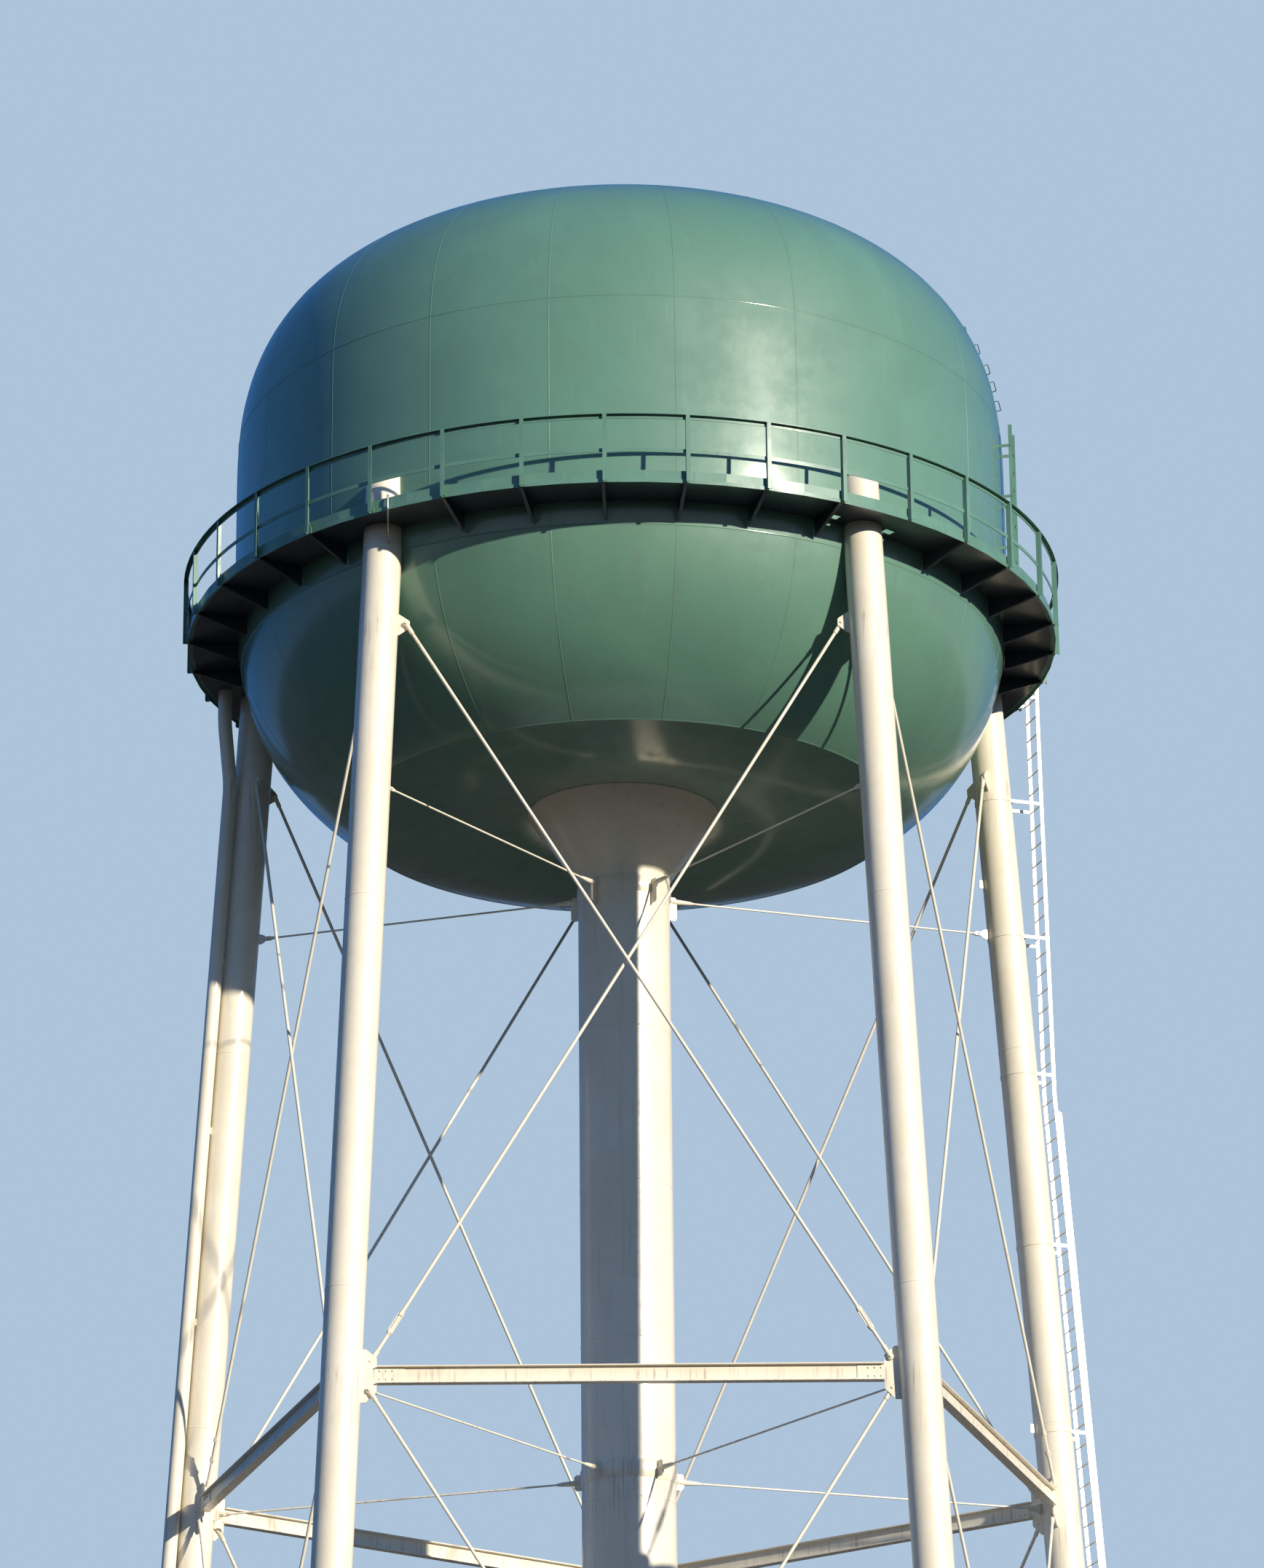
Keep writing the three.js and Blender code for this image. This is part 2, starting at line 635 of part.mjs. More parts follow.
// The posts and bays of one length of the handrail; the gate's bay has a post but no rails
function makeHandrail(firstPost, hasGate) {
  const top = [
    [0, 0],
    [RAIL_SIZE, 0],
    [RAIL_SIZE, RAIL_SIZE],
    [RAIL_SIZE - RAIL_PLATE, RAIL_SIZE],
    [RAIL_SIZE - RAIL_PLATE, RAIL_PLATE],
    [0, RAIL_PLATE],
  ];
  const middle = [
    [0, 0],
    [RAIL_PLATE, 0],
    [RAIL_PLATE, MID_RAIL_SIZE],
    [0, MID_RAIL_SIZE],
  ].map(([inwards, down]) => [inwards + RAIL_SIZE - RAIL_PLATE, down]);
  const post = [
    [FLOOR_RADIUS + SEAT_GAP, BALCONY],
    [RAIL_OUTSIDE - 1, BALCONY],
    [RAIL_OUTSIDE - 1, BALCONY + RAIL_HEIGHT - 1],
    [FLOOR_RADIUS + SEAT_GAP, BALCONY + RAIL_HEIGHT - 1],
  ];
  const endGap = POST_WIDTH / 2 + RAIL_SIZE * Math.tan(rad(BAY_STEP / 2)) + SEAT_GAP;
  const lastGap = THREE.MathUtils.radToDeg(endGap / RAIL_OUTSIDE);
  const pieces = [];
  for (let i = 0; i < BAYS_A_LENGTH; i++) {
    const from = postAzimuth(firstPost + i);
    pieces.push(uprightPlate(post, POST_WIDTH, from));
    const last = i === BAYS_A_LENGTH - 1;
    if (last && hasGate) continue;
    const to = from + BAY_STEP - (last ? lastGap : 0);
    pieces.push(railBay(top, RAIL_HEIGHT, from, to), railBay(middle, MID_RAIL_HEIGHT, from, to));
  }
  return joined(pieces);
}

// Ladders

function legAzimuth(number) {
  return LEG_STEP * (number - 1.5);
}

// Two side bars along a line of [radius, height], with rungs, at an azimuth
function ladderPieces(line, azimuth) {
  const outline = [...shifted(line, -LADDER_BAR_DEPTH / 2), ...shifted(line, LADDER_BAR_DEPTH / 2).reverse()];
  const pieces = [];
  for (const hand of [-1, 1]) {
    const side = uprightPlate(outline, LADDER_BAR, 0).translate((hand * LADDER_WIDTH) / 2, 0, 0);
    pieces.push(turned(side, azimuth));
  }
  return pieces;
}

function rungAt([r, z], azimuth) {
  const rung = new THREE.BoxGeometry(LADDER_WIDTH, RUNG_SIZE, RUNG_SIZE).translate(0, -r, z);
  return turned(rung, azimuth);
}

function rungsAlong(line, azimuth) {
  const path = new THREE.CurvePath();
  for (let i = 0; i + 1 < line.length; i++) {
    path.add(new THREE.LineCurve(new THREE.Vector2(...line[i]), new THREE.Vector2(...line[i + 1])));
  }
  const count = Math.floor(path.getLength() / RUNG_STEP);
  return spread(0.5 / count, 1 - 0.5 / count, count - 1).map((t) => {
    const point = path.getPoint(t);
    return rungAt([point.x, point.y], azimuth);
  });
}

// Brackets from each side bar back towards the axis
function bracketsAt([r, z], reach, azimuth) {
  return [-1, 1].map((hand) => {
    const bracket = new THREE.BoxGeometry(BRACKET_PLATE, reach, BRACKET_HEIGHT);
    bracket.translate((hand * LADDER_WIDTH) / 2, -r + reach / 2, z);
    return turned(bracket, azimuth);
  });
}

function makeLegLadder() {
  const azimuth = legAzimuth(LADDER_LEG);
  const [foot, bend] = [LADDER_FOOT, LEG_LADDER_BEND].map((z) => [legCircle(z) + LADDER_OFFSET, z]);
  const straight = [LADDER_TOP_RADIUS, LADDER_HEAD_FOOT - 2 * SEAT_GAP];
  const line = [foot, bend, straight];
  const pieces = [...ladderPieces(line, azimuth), ...rungsAlong(line, azimuth)];
  for (const z of spread(LADDER_FOOT + BRACKET_REACH, LOWER_BRACKETS_TOP, LOWER_BRACKET_STEPS)) {
    pieces.push(...bracketsAt([legCircle(z) + LADDER_OFFSET, z], LADDER_OFFSET, azimuth));
  }
  for (const share of UPPER_BRACKET_SHARES) {
    const [r, z] = bend.map((value, i) => THREE.MathUtils.lerp(value, straight[i], share));
    pieces.push(...bracketsAt([r, z], r - legCircle(z), azimuth));
  }
  return joined(pieces).subtract(solidOf(turned(legTube(LEG_RADIUS + SEAT_GAP), azimuth)));
}

// The leg ladder's upright top, with no rungs above the floor, where people step through the gate
function makeLadderHead() {
  const azimuth = legAzimuth(LADDER_LEG);
  const line = [LADDER_HEAD_FOOT, LEG_LADDER_TOP].map((z) => [LADDER_TOP_RADIUS, z]);
  const rungs = [LADDER_HEAD_FOOT + RUNG_SIZE, FLOOR_TOP].map((z) => rungAt([LADDER_TOP_RADIUS, z], azimuth));
  return joined([...ladderPieces(line, azimuth), ...rungs]);
}

// From the balcony's floor to the roof's weld
function makeTankLadder(envelope) {
  const radius = TANK_RADIUS + TANK_LADDER_OFFSET;
  const line = [
    [radius, FLOOR_TOP + SEAT_GAP],
    [radius, TANK_LADDER_TOP],
  ];
  const pieces = [...ladderPieces(line, TANK_LADDER_AZIMUTH), ...rungsAlong(line, TANK_LADDER_AZIMUTH)];
  for (const z of spread(FLOOR_TOP + BRACKET_END, TANK_LADDER_TOP - BRACKET_END, TANK_BRACKET_STEPS)) {
    pieces.push(...bracketsAt([radius, z], BRACKET_REACH, TANK_LADDER_AZIMUTH));
  }
  return joined(pieces).subtract(envelope);
}

// Overflow pipe beside a leg, from the tank's shell down to an elbow above the ground

// A route through points; a swept section gets one ring at each of them
class Route extends THREE.Curve {
  constructor(points) {
    super();
    this.points = points;
  }

  getPoint(t) {
    const place = t * (this.points.length - 1);
    const i = Math.min(Math.floor(place), this.points.length - 2);
    return new THREE.Vector3().lerpVectors(this.points[i], this.points[i + 1], place - i);
  }

  getPointAt(t) {
    return this.getPoint(t);
  }

  getTangentAt(t) {
    const last = this.points.length - 1;
    const i = Math.round(t * last);
    const before = this.points[Math.max(i - 1, 0)];
    const after = this.points[Math.min(i + 1, last)];
    return new THREE.Vector3().subVectors(after, before).normalize();
  }
}

// Rounds each inner corner of a chain of points by a curve that starts a given distance before it
function rounded(points, distance, steps) {
  const route = [points[0]];
  for (let i = 1; i + 1 < points.length; i++) {
    const [a, corner, b] = [points[i - 1], points[i], points[i + 1]];
    const start = corner.clone().addScaledVector(a.clone().sub(corner).normalize(), distance);
    const end = corner.clone().addScaledVector(b.clone().sub(corner).normalize(), distance);
    const curve = new THREE.QuadraticBezierCurve3(start, corner, end);
    route.push(...curve.getPoints(steps));
  }
  return [...route, points[points.length - 1]];
}

function pipeRoute() {
  const azimuth = legAzimuth(PIPE_LEG);
  const beside = polar(PIPE_SIDE_AZIMUTH, LEG_RADIUS + PIPE_RADIUS + PIPE_GAP, 0);
  const outwards = polar(azimuth, PIPE_OUTLET_REACH, 0);
  const corners = [
    polar(PIPE_TOP_AZIMUTH, TANK_RADIUS - PIPE_TOP_INSET, PIPE_ENTRY),
    polar(PIPE_TOP_AZIMUTH, PIPE_TOP_RADIUS, PIPE_ENTRY),
    polar(PIPE_TOP_AZIMUTH, PIPE_TOP_RADIUS, PIPE_DROP_END),
    legPoint(PIPE_LEG_TOP, azimuth).add(beside),
    legPoint(PIPE_LEG_FOOT, azimuth).add(beside),
    legPoint(PIPE_OUTLET, azimuth).add(beside).add(outwards),
  ];
  return rounded(corners, PIPE_BEND, PIPE_BEND_STEPS);
}

function pipeTube(radius) {
  const section = new THREE.Shape();
  for (let i = 0; i < PIPE_SIDES; i++) {
    const angle = (2 * Math.PI * i) / PIPE_SIDES;
    const corner = [radius * Math.cos(angle), radius * Math.sin(angle)];
    if (i === 0) section.moveTo(...corner);
    else section.lineTo(...corner);
  }
  const route = new Route(pipeRoute());
  return new THREE.ExtrudeGeometry(section, {
    steps: route.points.length - 1,
    bevelEnabled: false,
    extrudePath: route,
  });
}

function makePipe(envelope) {
  return solidOf(pipeTube(PIPE_RADIUS)).subtract(envelope);
}

// Assembly

const tower = new THREE.Group();
const envelope = tankEnvelope();

tower.add(meshOf("tank_roof", makeRoof(), green));
tower.add(meshOf("tank_shell", makeRing(shellLine()), green));
tower.add(meshOf("tank_bowl", makeRing(bowlLine()), green));
for (const [side, quarter] of quarters(makeRing(knuckleLine(KNUCKLE_STEPS)))) {
  tower.add(meshOf(`tank_knuckle_${side}`, quarter, green));
}
tower.add(meshOf("tank_bottom", makeDish(), green));
tower.add(meshOf("roof_vent", makeVent(), green));
tower.add(meshOf("roof_hatch", makeHatch(envelope), green));
tower.add(meshOf("riser_bell", makeBell(envelope), cream));
tower.add(meshOf("riser_pipe", makeRiser(), cream));
tower.add(meshOf("riser_pier", makeRiserPier(), concrete));
tower.add(meshOf("balcony_floor", makeBalcony(envelope), darkGreen));
tower.add(meshOf("upper_tie_rods", makeTies(UPPER_TIE_LEVEL), cream));
tower.add(meshOf("lower_tie_rods", makeTies(LOWER_TIE_LEVEL), cream));
tower.add(meshOf("leg_ladder", makeLegLadder(), cream));
tower.add(meshOf("ladder_head", makeLadderHead(), cream));
tower.add(meshOf("tank_ladder", makeTankLadder(envelope), darkGreen));
tower.add(meshOf("overflow_pipe", makePipe(envelope), cream));

const leg = makeLeg(envelope);
const pier = makePier();
const strut = makeStrut();
const upperPins = [TOP_LUG_LEVEL, STRUT_LEVEL + PIN_ABOVE_STRUT];
const lowerPins = [STRUT_LEVEL - PIN_BELOW_STRUT, FOOT_LUG_LEVEL];

for (let number = 1; number <= LEG_COUNT; number++) {
  const corner = new THREE.Group();
  corner.rotation.z = rad(legAzimuth(number));
  corner.add(meshOf(`leg_${number}`, leg, cream));
  corner.add(meshOf(`leg_pier_${number}`, pier, concrete));
  const side = new THREE.Group();
  side.rotation.z = rad(LEG_STEP * (number - 1));
  side.add(meshOf(`strut_${number}`, strut, cream));
  side.add(meshOf(`upper_rod_${number}a`, makeRod(...upperPins, 1), cream));
  side.add(meshOf(`upper_rod_${number}b`, makeRod(...upperPins, -1), cream));
  side.add(meshOf(`lower_rod_${number}a`, makeRod(...lowerPins, 1), cream));
  side.add(meshOf(`lower_rod_${number}b`, makeRod(...lowerPins, -1), cream));
  const firstPost = POST_AFTER_GATE + BAYS_A_LENGTH * (number - 1);
  tower.add(meshOf(`handrail_${number}`, makeHandrail(firstPost, number === LEG_COUNT), darkGreen));
  tower.add(corner, side);
}

export default tower;
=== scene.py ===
import math

import bmesh
import bpy
from mathutils import Matrix, Vector


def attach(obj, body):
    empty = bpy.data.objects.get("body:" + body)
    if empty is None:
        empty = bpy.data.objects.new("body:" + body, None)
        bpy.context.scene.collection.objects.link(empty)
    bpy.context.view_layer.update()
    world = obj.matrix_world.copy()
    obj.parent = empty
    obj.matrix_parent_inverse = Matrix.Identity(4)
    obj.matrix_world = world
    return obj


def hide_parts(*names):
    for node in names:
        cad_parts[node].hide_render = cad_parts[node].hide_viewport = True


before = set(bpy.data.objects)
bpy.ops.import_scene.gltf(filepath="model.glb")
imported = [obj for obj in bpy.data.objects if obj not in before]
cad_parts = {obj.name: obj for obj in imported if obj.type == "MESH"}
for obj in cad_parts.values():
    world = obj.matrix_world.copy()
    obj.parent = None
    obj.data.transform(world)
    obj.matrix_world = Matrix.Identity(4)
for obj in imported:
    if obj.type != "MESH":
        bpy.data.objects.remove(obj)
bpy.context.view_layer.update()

# Levels above the ground
PIER_TOP = 0.3
BALCONY = 26.6
STRUT_LEVEL = BALCONY - 13.115
UPPER_TIE_LEVEL = BALCONY - 4.0
LOWER_TIE_LEVEL = STRUT_LEVEL - 0.08
TOP_LUG_LEVEL = BALCONY - 1.5
FOOT_LUG_LEVEL = PIER_TOP + 0.42

# The gap that keeps a piece clear of the one it rests on
SEAT_GAP = 0.0003

# Tank
TANK_RADIUS = 6.05
TANK_WALL = 0.025
TANK_SIDES = 180
ROOF_SEAM = BALCONY + 3.38
ROOF_SPRING = BALCONY + 2.55
ROOF_RISE = 4.105
ROOF_POWER = 2.95
BOWL_SEAM = BALCONY - 0.3
BOWL_SPRING = BALCONY + 1.091
BOWL_DROP = 4.674
BOWL_POWER = 2.57
DISH_RADIUS = 4.25
DISH_HOLE_RADIUS = 1.4
DISH_RISE = 0.085
DISH_SAG = 0.19
PETALS = 20
FIRST_PETAL = 7.6
SEAM_WIDTH = 0.028
SEAM_HEIGHT = 0.0025
SEAM_ROOT = 0.003
WELD_WIDTH = 0.03
WELD_HEIGHT = 0.006
KNUCKLE_WELD_HEIGHT = 0.004
CROWN_WELD_RADIUS = 0.95
CROWN_SEAM_END = 0.9

# Bell and riser
BELL_RADIUS = 1.475
BELL_RIM = BALCONY - 2.68
BELL_FOOT = BALCONY - 3.85
BELL_NECK = ((0.0, 0.0), (0.008, 0.05), (0.022, 0.1), (0.045, 0.14))
BELL_SEAMS = 5
FIRST_BELL_SEAM = 3
RISER_RADIUS = 0.706
RISER_SIDES = 96
RISER_FLANGE = 1.0
RISER_WELDS = (BELL_FOOT - 2.44, 3.2, 7)
RISER_BOLTS = 16
FIRST_RISER_BOLT = 8
RISER_BOLT_CIRCLE = 0.88
RISER_PIER = 1.35
PLATE = 0.04
FLANGE_CHAMFER = 0.004
PIER_CHAMFER = 0.02

# Legs
LEG_COUNT = 5
LEG_STEP = 360 / LEG_COUNT
LEG_RADIUS = 0.29
LEG_SIDES = 56
LEG_CIRCLE = 6.069
LEG_BATTER = 0.0639
LEG_TOP = BALCONY + 0.91
LEG_CAP_SLOPE = 24
LEG_WELD_LEVELS = (BALCONY - 5.9, STRUT_LEVEL + 1.25, STRUT_LEVEL - 4.6, PIER_TOP + 2.4)
LEG_WELD = ((-0.001, 0.011), (0.0038, 0.0055), (0.005, 0), (0.0038, -0.0055), (-0.001, -0.011))
BASE_PLATE = 0.9
BASE_CORNER = 0.03
ANCHOR_OFFSET = 0.37
GUSSETS = 8
GUSSET_PLATE = 0.014
GUSSET_REACH = 0.42
GUSSET_TIP = 0.03
GUSSET_HEIGHT = 0.24
PIER_SIDE = 1.25
LUG = 0.02
LUG_REACH = 0.17
LUG_CORNER = 0.02
STRUT_LUG_REACH = 0.21
STRUT_LUG_EDGE = 0.06
PIN_REACH = 0.115
TIE_LUG_REACH = 0.12
TIE_LUG_HALF = 0.08
TIE_LUG_NOSE = 0.05
TIE_LUG_SLANT = 0.06
PAD_LEG = 3
PAD_LEVELS = (BALCONY - 3.17, BALCONY - 11.94)
PAD_REACH = 0.08
PAD_HEIGHT = 0.13

# Struts, rods and ties
STRUT_DEPTH = 0.25
STRUT_WIDTH = 0.15
STRUT_FLANGE = 0.015
STRUT_WEB = 0.012
STRUT_FILLET = 0.014
SPLICE = (0.42, 0.2)
SPLICE_PLATE = 0.01
ROD_RADIUS = 0.025
TURNBUCKLE_FROM_FOOT = 0.67
PIN_ABOVE_STRUT = 0.21
PIN_BELOW_STRUT = 0.23
TIE_RADIUS = 0.015
CLEVIS_LENGTH = 0.34
UPPER_RISER_LUG = (-0.31, 0.07)
LOWER_RISER_LUG = (-0.12, 0.12)
COLLAR_BEVEL = 0.05
COLLAR_HEIGHT = 0.28
COLLAR_WALL = 0.02
RISER_LUG_REACH = 0.13

# Balcony and handrail
BAY_COUNT = 35
BAY_STEP = 360 / BAY_COUNT
BAYS_A_LENGTH = BAY_COUNT // LEG_COUNT
POST_AFTER_GATE = 11
FIRST_POST = -2.5
FLOOR_RADIUS = 6.78
FLOOR_TOP = BALCONY + 0.057
FLOOR_PLATE = 0.012
FLOOR_SIDES = 70
TOE_TOP = BALCONY + 0.2
TOE_INSET = 0.02
TOE_PLATE = 0.008
LIP_WIDTH = 0.075
GATE_HALF = 0.305
RIB_DEPTH = 0.25
RIB_PLATE = 0.01
RIB_FLANGE = (0.05, 0.008)
SLOT_INNER = 6.12
SLOT_OUTER = 6.25
FLOOR_SLOTS = ((29.55, 31.25), (38.95, 40.65))
RAIL_OUTSIDE = 6.855
RAIL_HEIGHT = 1.07
RAIL_SIZE = 0.065
MID_RAIL_HEIGHT = 0.53
MID_RAIL_SIZE = 0.06
RAIL_PLATE = 0.01
RAIL_STEPS = 4
POST_PLATE = 0.008
POST_FLANGE = 0.062

# Ladders and pipe
LADDER_LEG = 3
LADDER_WIDTH = 0.41
LADDER_DEPTH = 0.06
LADDER_BAR = 0.012
LADDER_OFFSET = 0.475
LEG_BAND = ((-0.002, -0.03), (0.008, -0.03), (0.008, 0.03), (-0.002, 0.03))
STANDOFF_ROOT = 0.18
STANDOFF_HEIGHT = 0.05
STANDOFF_PLATE = 0.008
LADDER_FOOT = 2.4
LADDER_BEND = BALCONY - 6.6
LADDER_LAP = BALCONY - 6.85
LOWER_STANDOFFS_TOP = BALCONY - 9.05
UPPER_STANDOFF_SHARES = (0.05, 0.42, 0.79)
LADDER_TOP_RADIUS = 6.905
RUNG_STEP = 0.305
RUNG_RADIUS = 0.011
RUNG_STUB = 0.004
ROOF_RUNG_HALF = 0.18
LAST_ROOF_RUNG = 2.4
ROOF_RUNG_HEIGHT = 0.065
ROOF_RUNG_RADIUS = 0.008
TANK_LADDER_AZIMUTH = 80
TANK_LADDER_OFFSET = 0.175
TANK_LADDER_TOP = ROOF_SEAM - 0.03
PIPE_LEG = 5
PIPE_RADIUS = 0.11
PIPE_AZIMUTH = -103.3
PIPE_ENTRY = BALCONY + 0.45
PIPE_DROP_RADIUS = 6.46
PIPE_CLIP_DROPS = (4.4, 7.15, 10.2, 15.0, 18.5, 22.0)
CONDUIT_LEG = 1
CONDUIT_TURN = 57
CONDUIT_AZIMUTH = -30.7
CONDUIT_RADIUS = 0.014

# Light: the sun's place, and the sky's colours from below (0) through the horizon (0.5) to the top (1)
SUN_AZIMUTH = 41.1
SUN_ELEVATION = 15.9
SUN_STRENGTH = 5.2
SUN_COLOR = (1.0, 0.92, 0.78)
SUN_WIDTH = 1.0
SUNWARD_FROM = 0.1
GROUND_LIGHT = (0.0, (0.012, 0.016, 0.024))
SUNWARD_LIGHT = ((0.485, (0.06, 0.055, 0.055)), (0.505, (0.44, 0.5, 0.58)), (0.6, (0.13, 0.27, 0.52)))
AWAY_LIGHT = ((0.485, (0.06, 0.055, 0.055)), (0.505, (0.12, 0.24, 0.46)), (0.6, (0.04, 0.16, 0.42)))
TOP_LIGHT = (1.0, (0.02, 0.11, 0.36))
BACKDROP = (0.42, 0.55, 0.7, 1)
GROUND_RADIUS = 10.0

# Camera: its place, its turns in radians, and the photograph's focal length and height in pixels
CAMERA_PLACE = (-0.59, -88.09, -9.16)
CAMERA_TURNS = (0.0083, 0.3646, -0.0094)
FOCAL_PIXELS = 8343.24
PHOTO_HEIGHT = 2153
SENSOR = 36


# Points and frames


def polar(azimuth, radius, height):
    a = math.radians(azimuth)
    return Vector((radius * math.sin(a), -radius * math.cos(a), height))


def turned(azimuth):
    return Matrix.Rotation(math.radians(azimuth), 4, "Z")


def spread(first, last, steps):
    return [first + (last - first) * i / steps for i in range(steps + 1)]


def circle(radius, sides):
    angles = [2 * math.pi * i / sides for i in range(sides)]
    return [(radius * math.cos(a), radius * math.sin(a)) for a in angles]


def rectangle(width, height):
    w, h = width / 2, height / 2
    return [(-w, -h), (w, -h), (w, h), (-w, h)]


def cut_square(side, corner):
    """A square with its corners cut off."""
    b, c = side / 2, side / 2 - corner
    return [(-c, -b), (c, -b), (b, -c), (b, c), (c, b), (-c, b), (-b, c), (-b, -c)]


def mirrored(half):
    """An outline whose second half is the mirror image, up and down, of the first."""
    return [*half, *[(x, -y) for x, y in reversed(half)]]


def outwards(azimuth):
    """The level directions away from the axis and sideways at an azimuth."""
    return polar(azimuth, 1, 0), polar(azimuth + 90, 1, 0)


def squared(vector, axis):
    """The direction of a vector once it is turned square to a unit axis."""
    return (vector - axis * vector.dot(axis)).normalized()


def any_side(axis):
    """A direction square to a unit axis."""
    return squared(Vector((0, 0, 1)) if abs(axis.z) < 0.9 else Vector((0, 1, 0)), axis)


def aimed(origin, z, x):
    """A frame at origin with its Z along z and its X as near to x as that allows."""
    z = Vector(z).normalized()
    x = squared(Vector(x), z)
    matrix = Matrix((x, z.cross(x), z)).transposed().to_4x4()
    matrix.translation = Vector(origin)
    return matrix


def along(route):
    """A frame at each point of a route, carried along it without twisting."""
    last = len(route) - 1
    frames = []
    side = None
    for i, point in enumerate(route):
        tangent = (route[min(i + 1, last)] - route[max(i - 1, 0)]).normalized()
        side = any_side(tangent) if side is None else squared(side, tangent)
        frames.append((point, side, tangent.cross(side)))
    return frames


def rounded(points, distance, steps):
    """A chain of points with each inner corner rounded from a distance before it."""
    route = [points[0]]
    for before, corner, after in zip(points, points[1:], points[2:]):
        start = corner + (before - corner).normalized() * distance
        end = corner + (after - corner).normalized() * distance
        for t in spread(0, 1, steps):
            route.append(start * (1 - t) ** 2 + corner * 2 * t * (1 - t) + end * t**2)
    return [*route, points[-1]]


class Shape:
    """Points and faces of one piece, gathered part by part as closed solids."""

    def __init__(self):
        self.points = []
        self.faces = []

    def add(self, points, faces):
        base = len(self.points)
        self.points.extend(points)
        self.faces.extend(tuple(base + i for i in face) for face in faces)

    def copy(self, other, matrix):
        self.add([matrix @ p for p in other.points], other.faces)

    def at(self, matrix):
        """A copy of this shape, moved by a matrix."""
        moved = Shape()
        moved.copy(self, matrix)
        return moved

    def lathe(self, loop, sides, first=0.0):
        """A closed loop of (radius, height), turned about Z."""
        rings = []
        points = []
        for r, z in loop:
            start = len(points)
            if r < 1e-6:
                points.append(Vector((0, 0, z)))
                rings.append([start] * sides)
            else:
                points.extend(polar(first + 360 * k / sides, r, z) for k in range(sides))
                rings.append(list(range(start, start + sides)))
        faces = []
        for ring, after in zip(rings, rings[1:] + rings[:1]):
            for k in range(sides):
                n = (k + 1) % sides
                face = tuple(dict.fromkeys((ring[k], ring[n], after[n], after[k])))
                if len(face) > 2:
                    faces.append(face)
        self.add(points, faces)

    def sweep(self, section, frames, closed=False):
        """A closed section carried through frames of (origin, first axis, second axis)."""
        n = len(section)
        count = len(frames)
        points = [o + u * a + v * b for o, u, v in frames for a, b in section]
        faces = []
        for i in range(count if closed else count - 1):
            a, b = i * n, (i + 1) % count * n
            faces.extend((a + k, a + (k + 1) % n, b + (k + 1) % n, b + k) for k in range(n))
        if not closed:
            faces.append(tuple(range(n)))
            faces.append(tuple(range((count - 1) * n, count * n)))
        self.add(points, faces)

    def tube(self, route, radius, sides):
        self.sweep(circle(radius, sides), along(route))

    def plate(self, outline, thickness, matrix):
        """An outline in the frame's XY plane, thickened evenly along its Z."""
        z = matrix.to_3x3() @ Vector((0, 0, thickness / 2))
        x, y = (matrix.to_3x3() @ Vector(v) for v in ((1, 0, 0), (0, 1, 0)))
        o = matrix.translation
        self.sweep(outline, [(o - z, x, y), (o + z, x, y)])

    def upright_plate(self, outline, thickness, matrix):
        """A plate whose second measures go up, whichever way the frame's Y points."""
        up = math.copysign(1, matrix.col[1].z)
        self.plate([(x, up * y) for x, y in outline], thickness, matrix)

    def cylinder(self, origin, axis, radius, length, sides=24):
        """A round bar that starts at origin, with slightly chamfered ends."""
        axis = Vector(axis).normalized()
        u = any_side(axis)
        v = axis.cross(u)
        c = min(radius, length) * 0.12
        steps = [(0, radius - c), (c, radius), (length - c, radius), (length, radius - c)]
        frames = [(Vector(origin) + axis * t, u * r, v * r) for t, r in steps]
        self.sweep(circle(1, sides), frames)

    def bolt(self, origin, axis, size):
        """A washer and a hexagon head that stand on a surface."""
        axis = Vector(axis).normalized()
        origin = Vector(origin)
        self.cylinder(origin - axis * 0.002, axis, size * 1.15, 0.002 + size * 0.22, 16)
        self.cylinder(origin + axis * size * 0.2, axis, size, size * 0.75, 6)
        self.cylinder(origin + axis * size * 0.9, axis, size * 0.5, size * 0.4, 10)

    def weld(self, r, z, nr, nz, sides, width=0.022, height=0.006):
        """A weld bead round a surface of revolution, at a point with the normal (nr, nz)."""
        loop = []
        for a in spread(0, 180, 5):
            c, s = math.cos(math.radians(a)), math.sin(math.radians(a))
            lift = height * s - 0.001
            loop.append((r - nz * c * width / 2 + nr * lift, z + nr * c * width / 2 + nz * lift))
        self.lathe(loop, sides)

    def made(self, name, material, slot, replaced=(), smooth=32):
        """The mesh object, riding on the tower, in place of the nodes that it stands for."""
        mesh = bpy.data.meshes.new(name)
        mesh.from_pydata([tuple(p) for p in self.points], [], self.faces)
        work = bmesh.new()
        work.from_mesh(mesh)
        bmesh.ops.recalc_face_normals(work, faces=work.faces)
        work.to_mesh(mesh)
        work.free()
        mesh.shade_smooth()
        mesh.set_sharp_from_angle(angle=math.radians(smooth))
        piece = bpy.data.objects.new(name, mesh)
        bpy.context.scene.collection.objects.link(piece)
        piece.data.materials.append(material)
        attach(piece, "root")
        if replaced:
            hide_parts(*replaced)
        return piece


# Materials


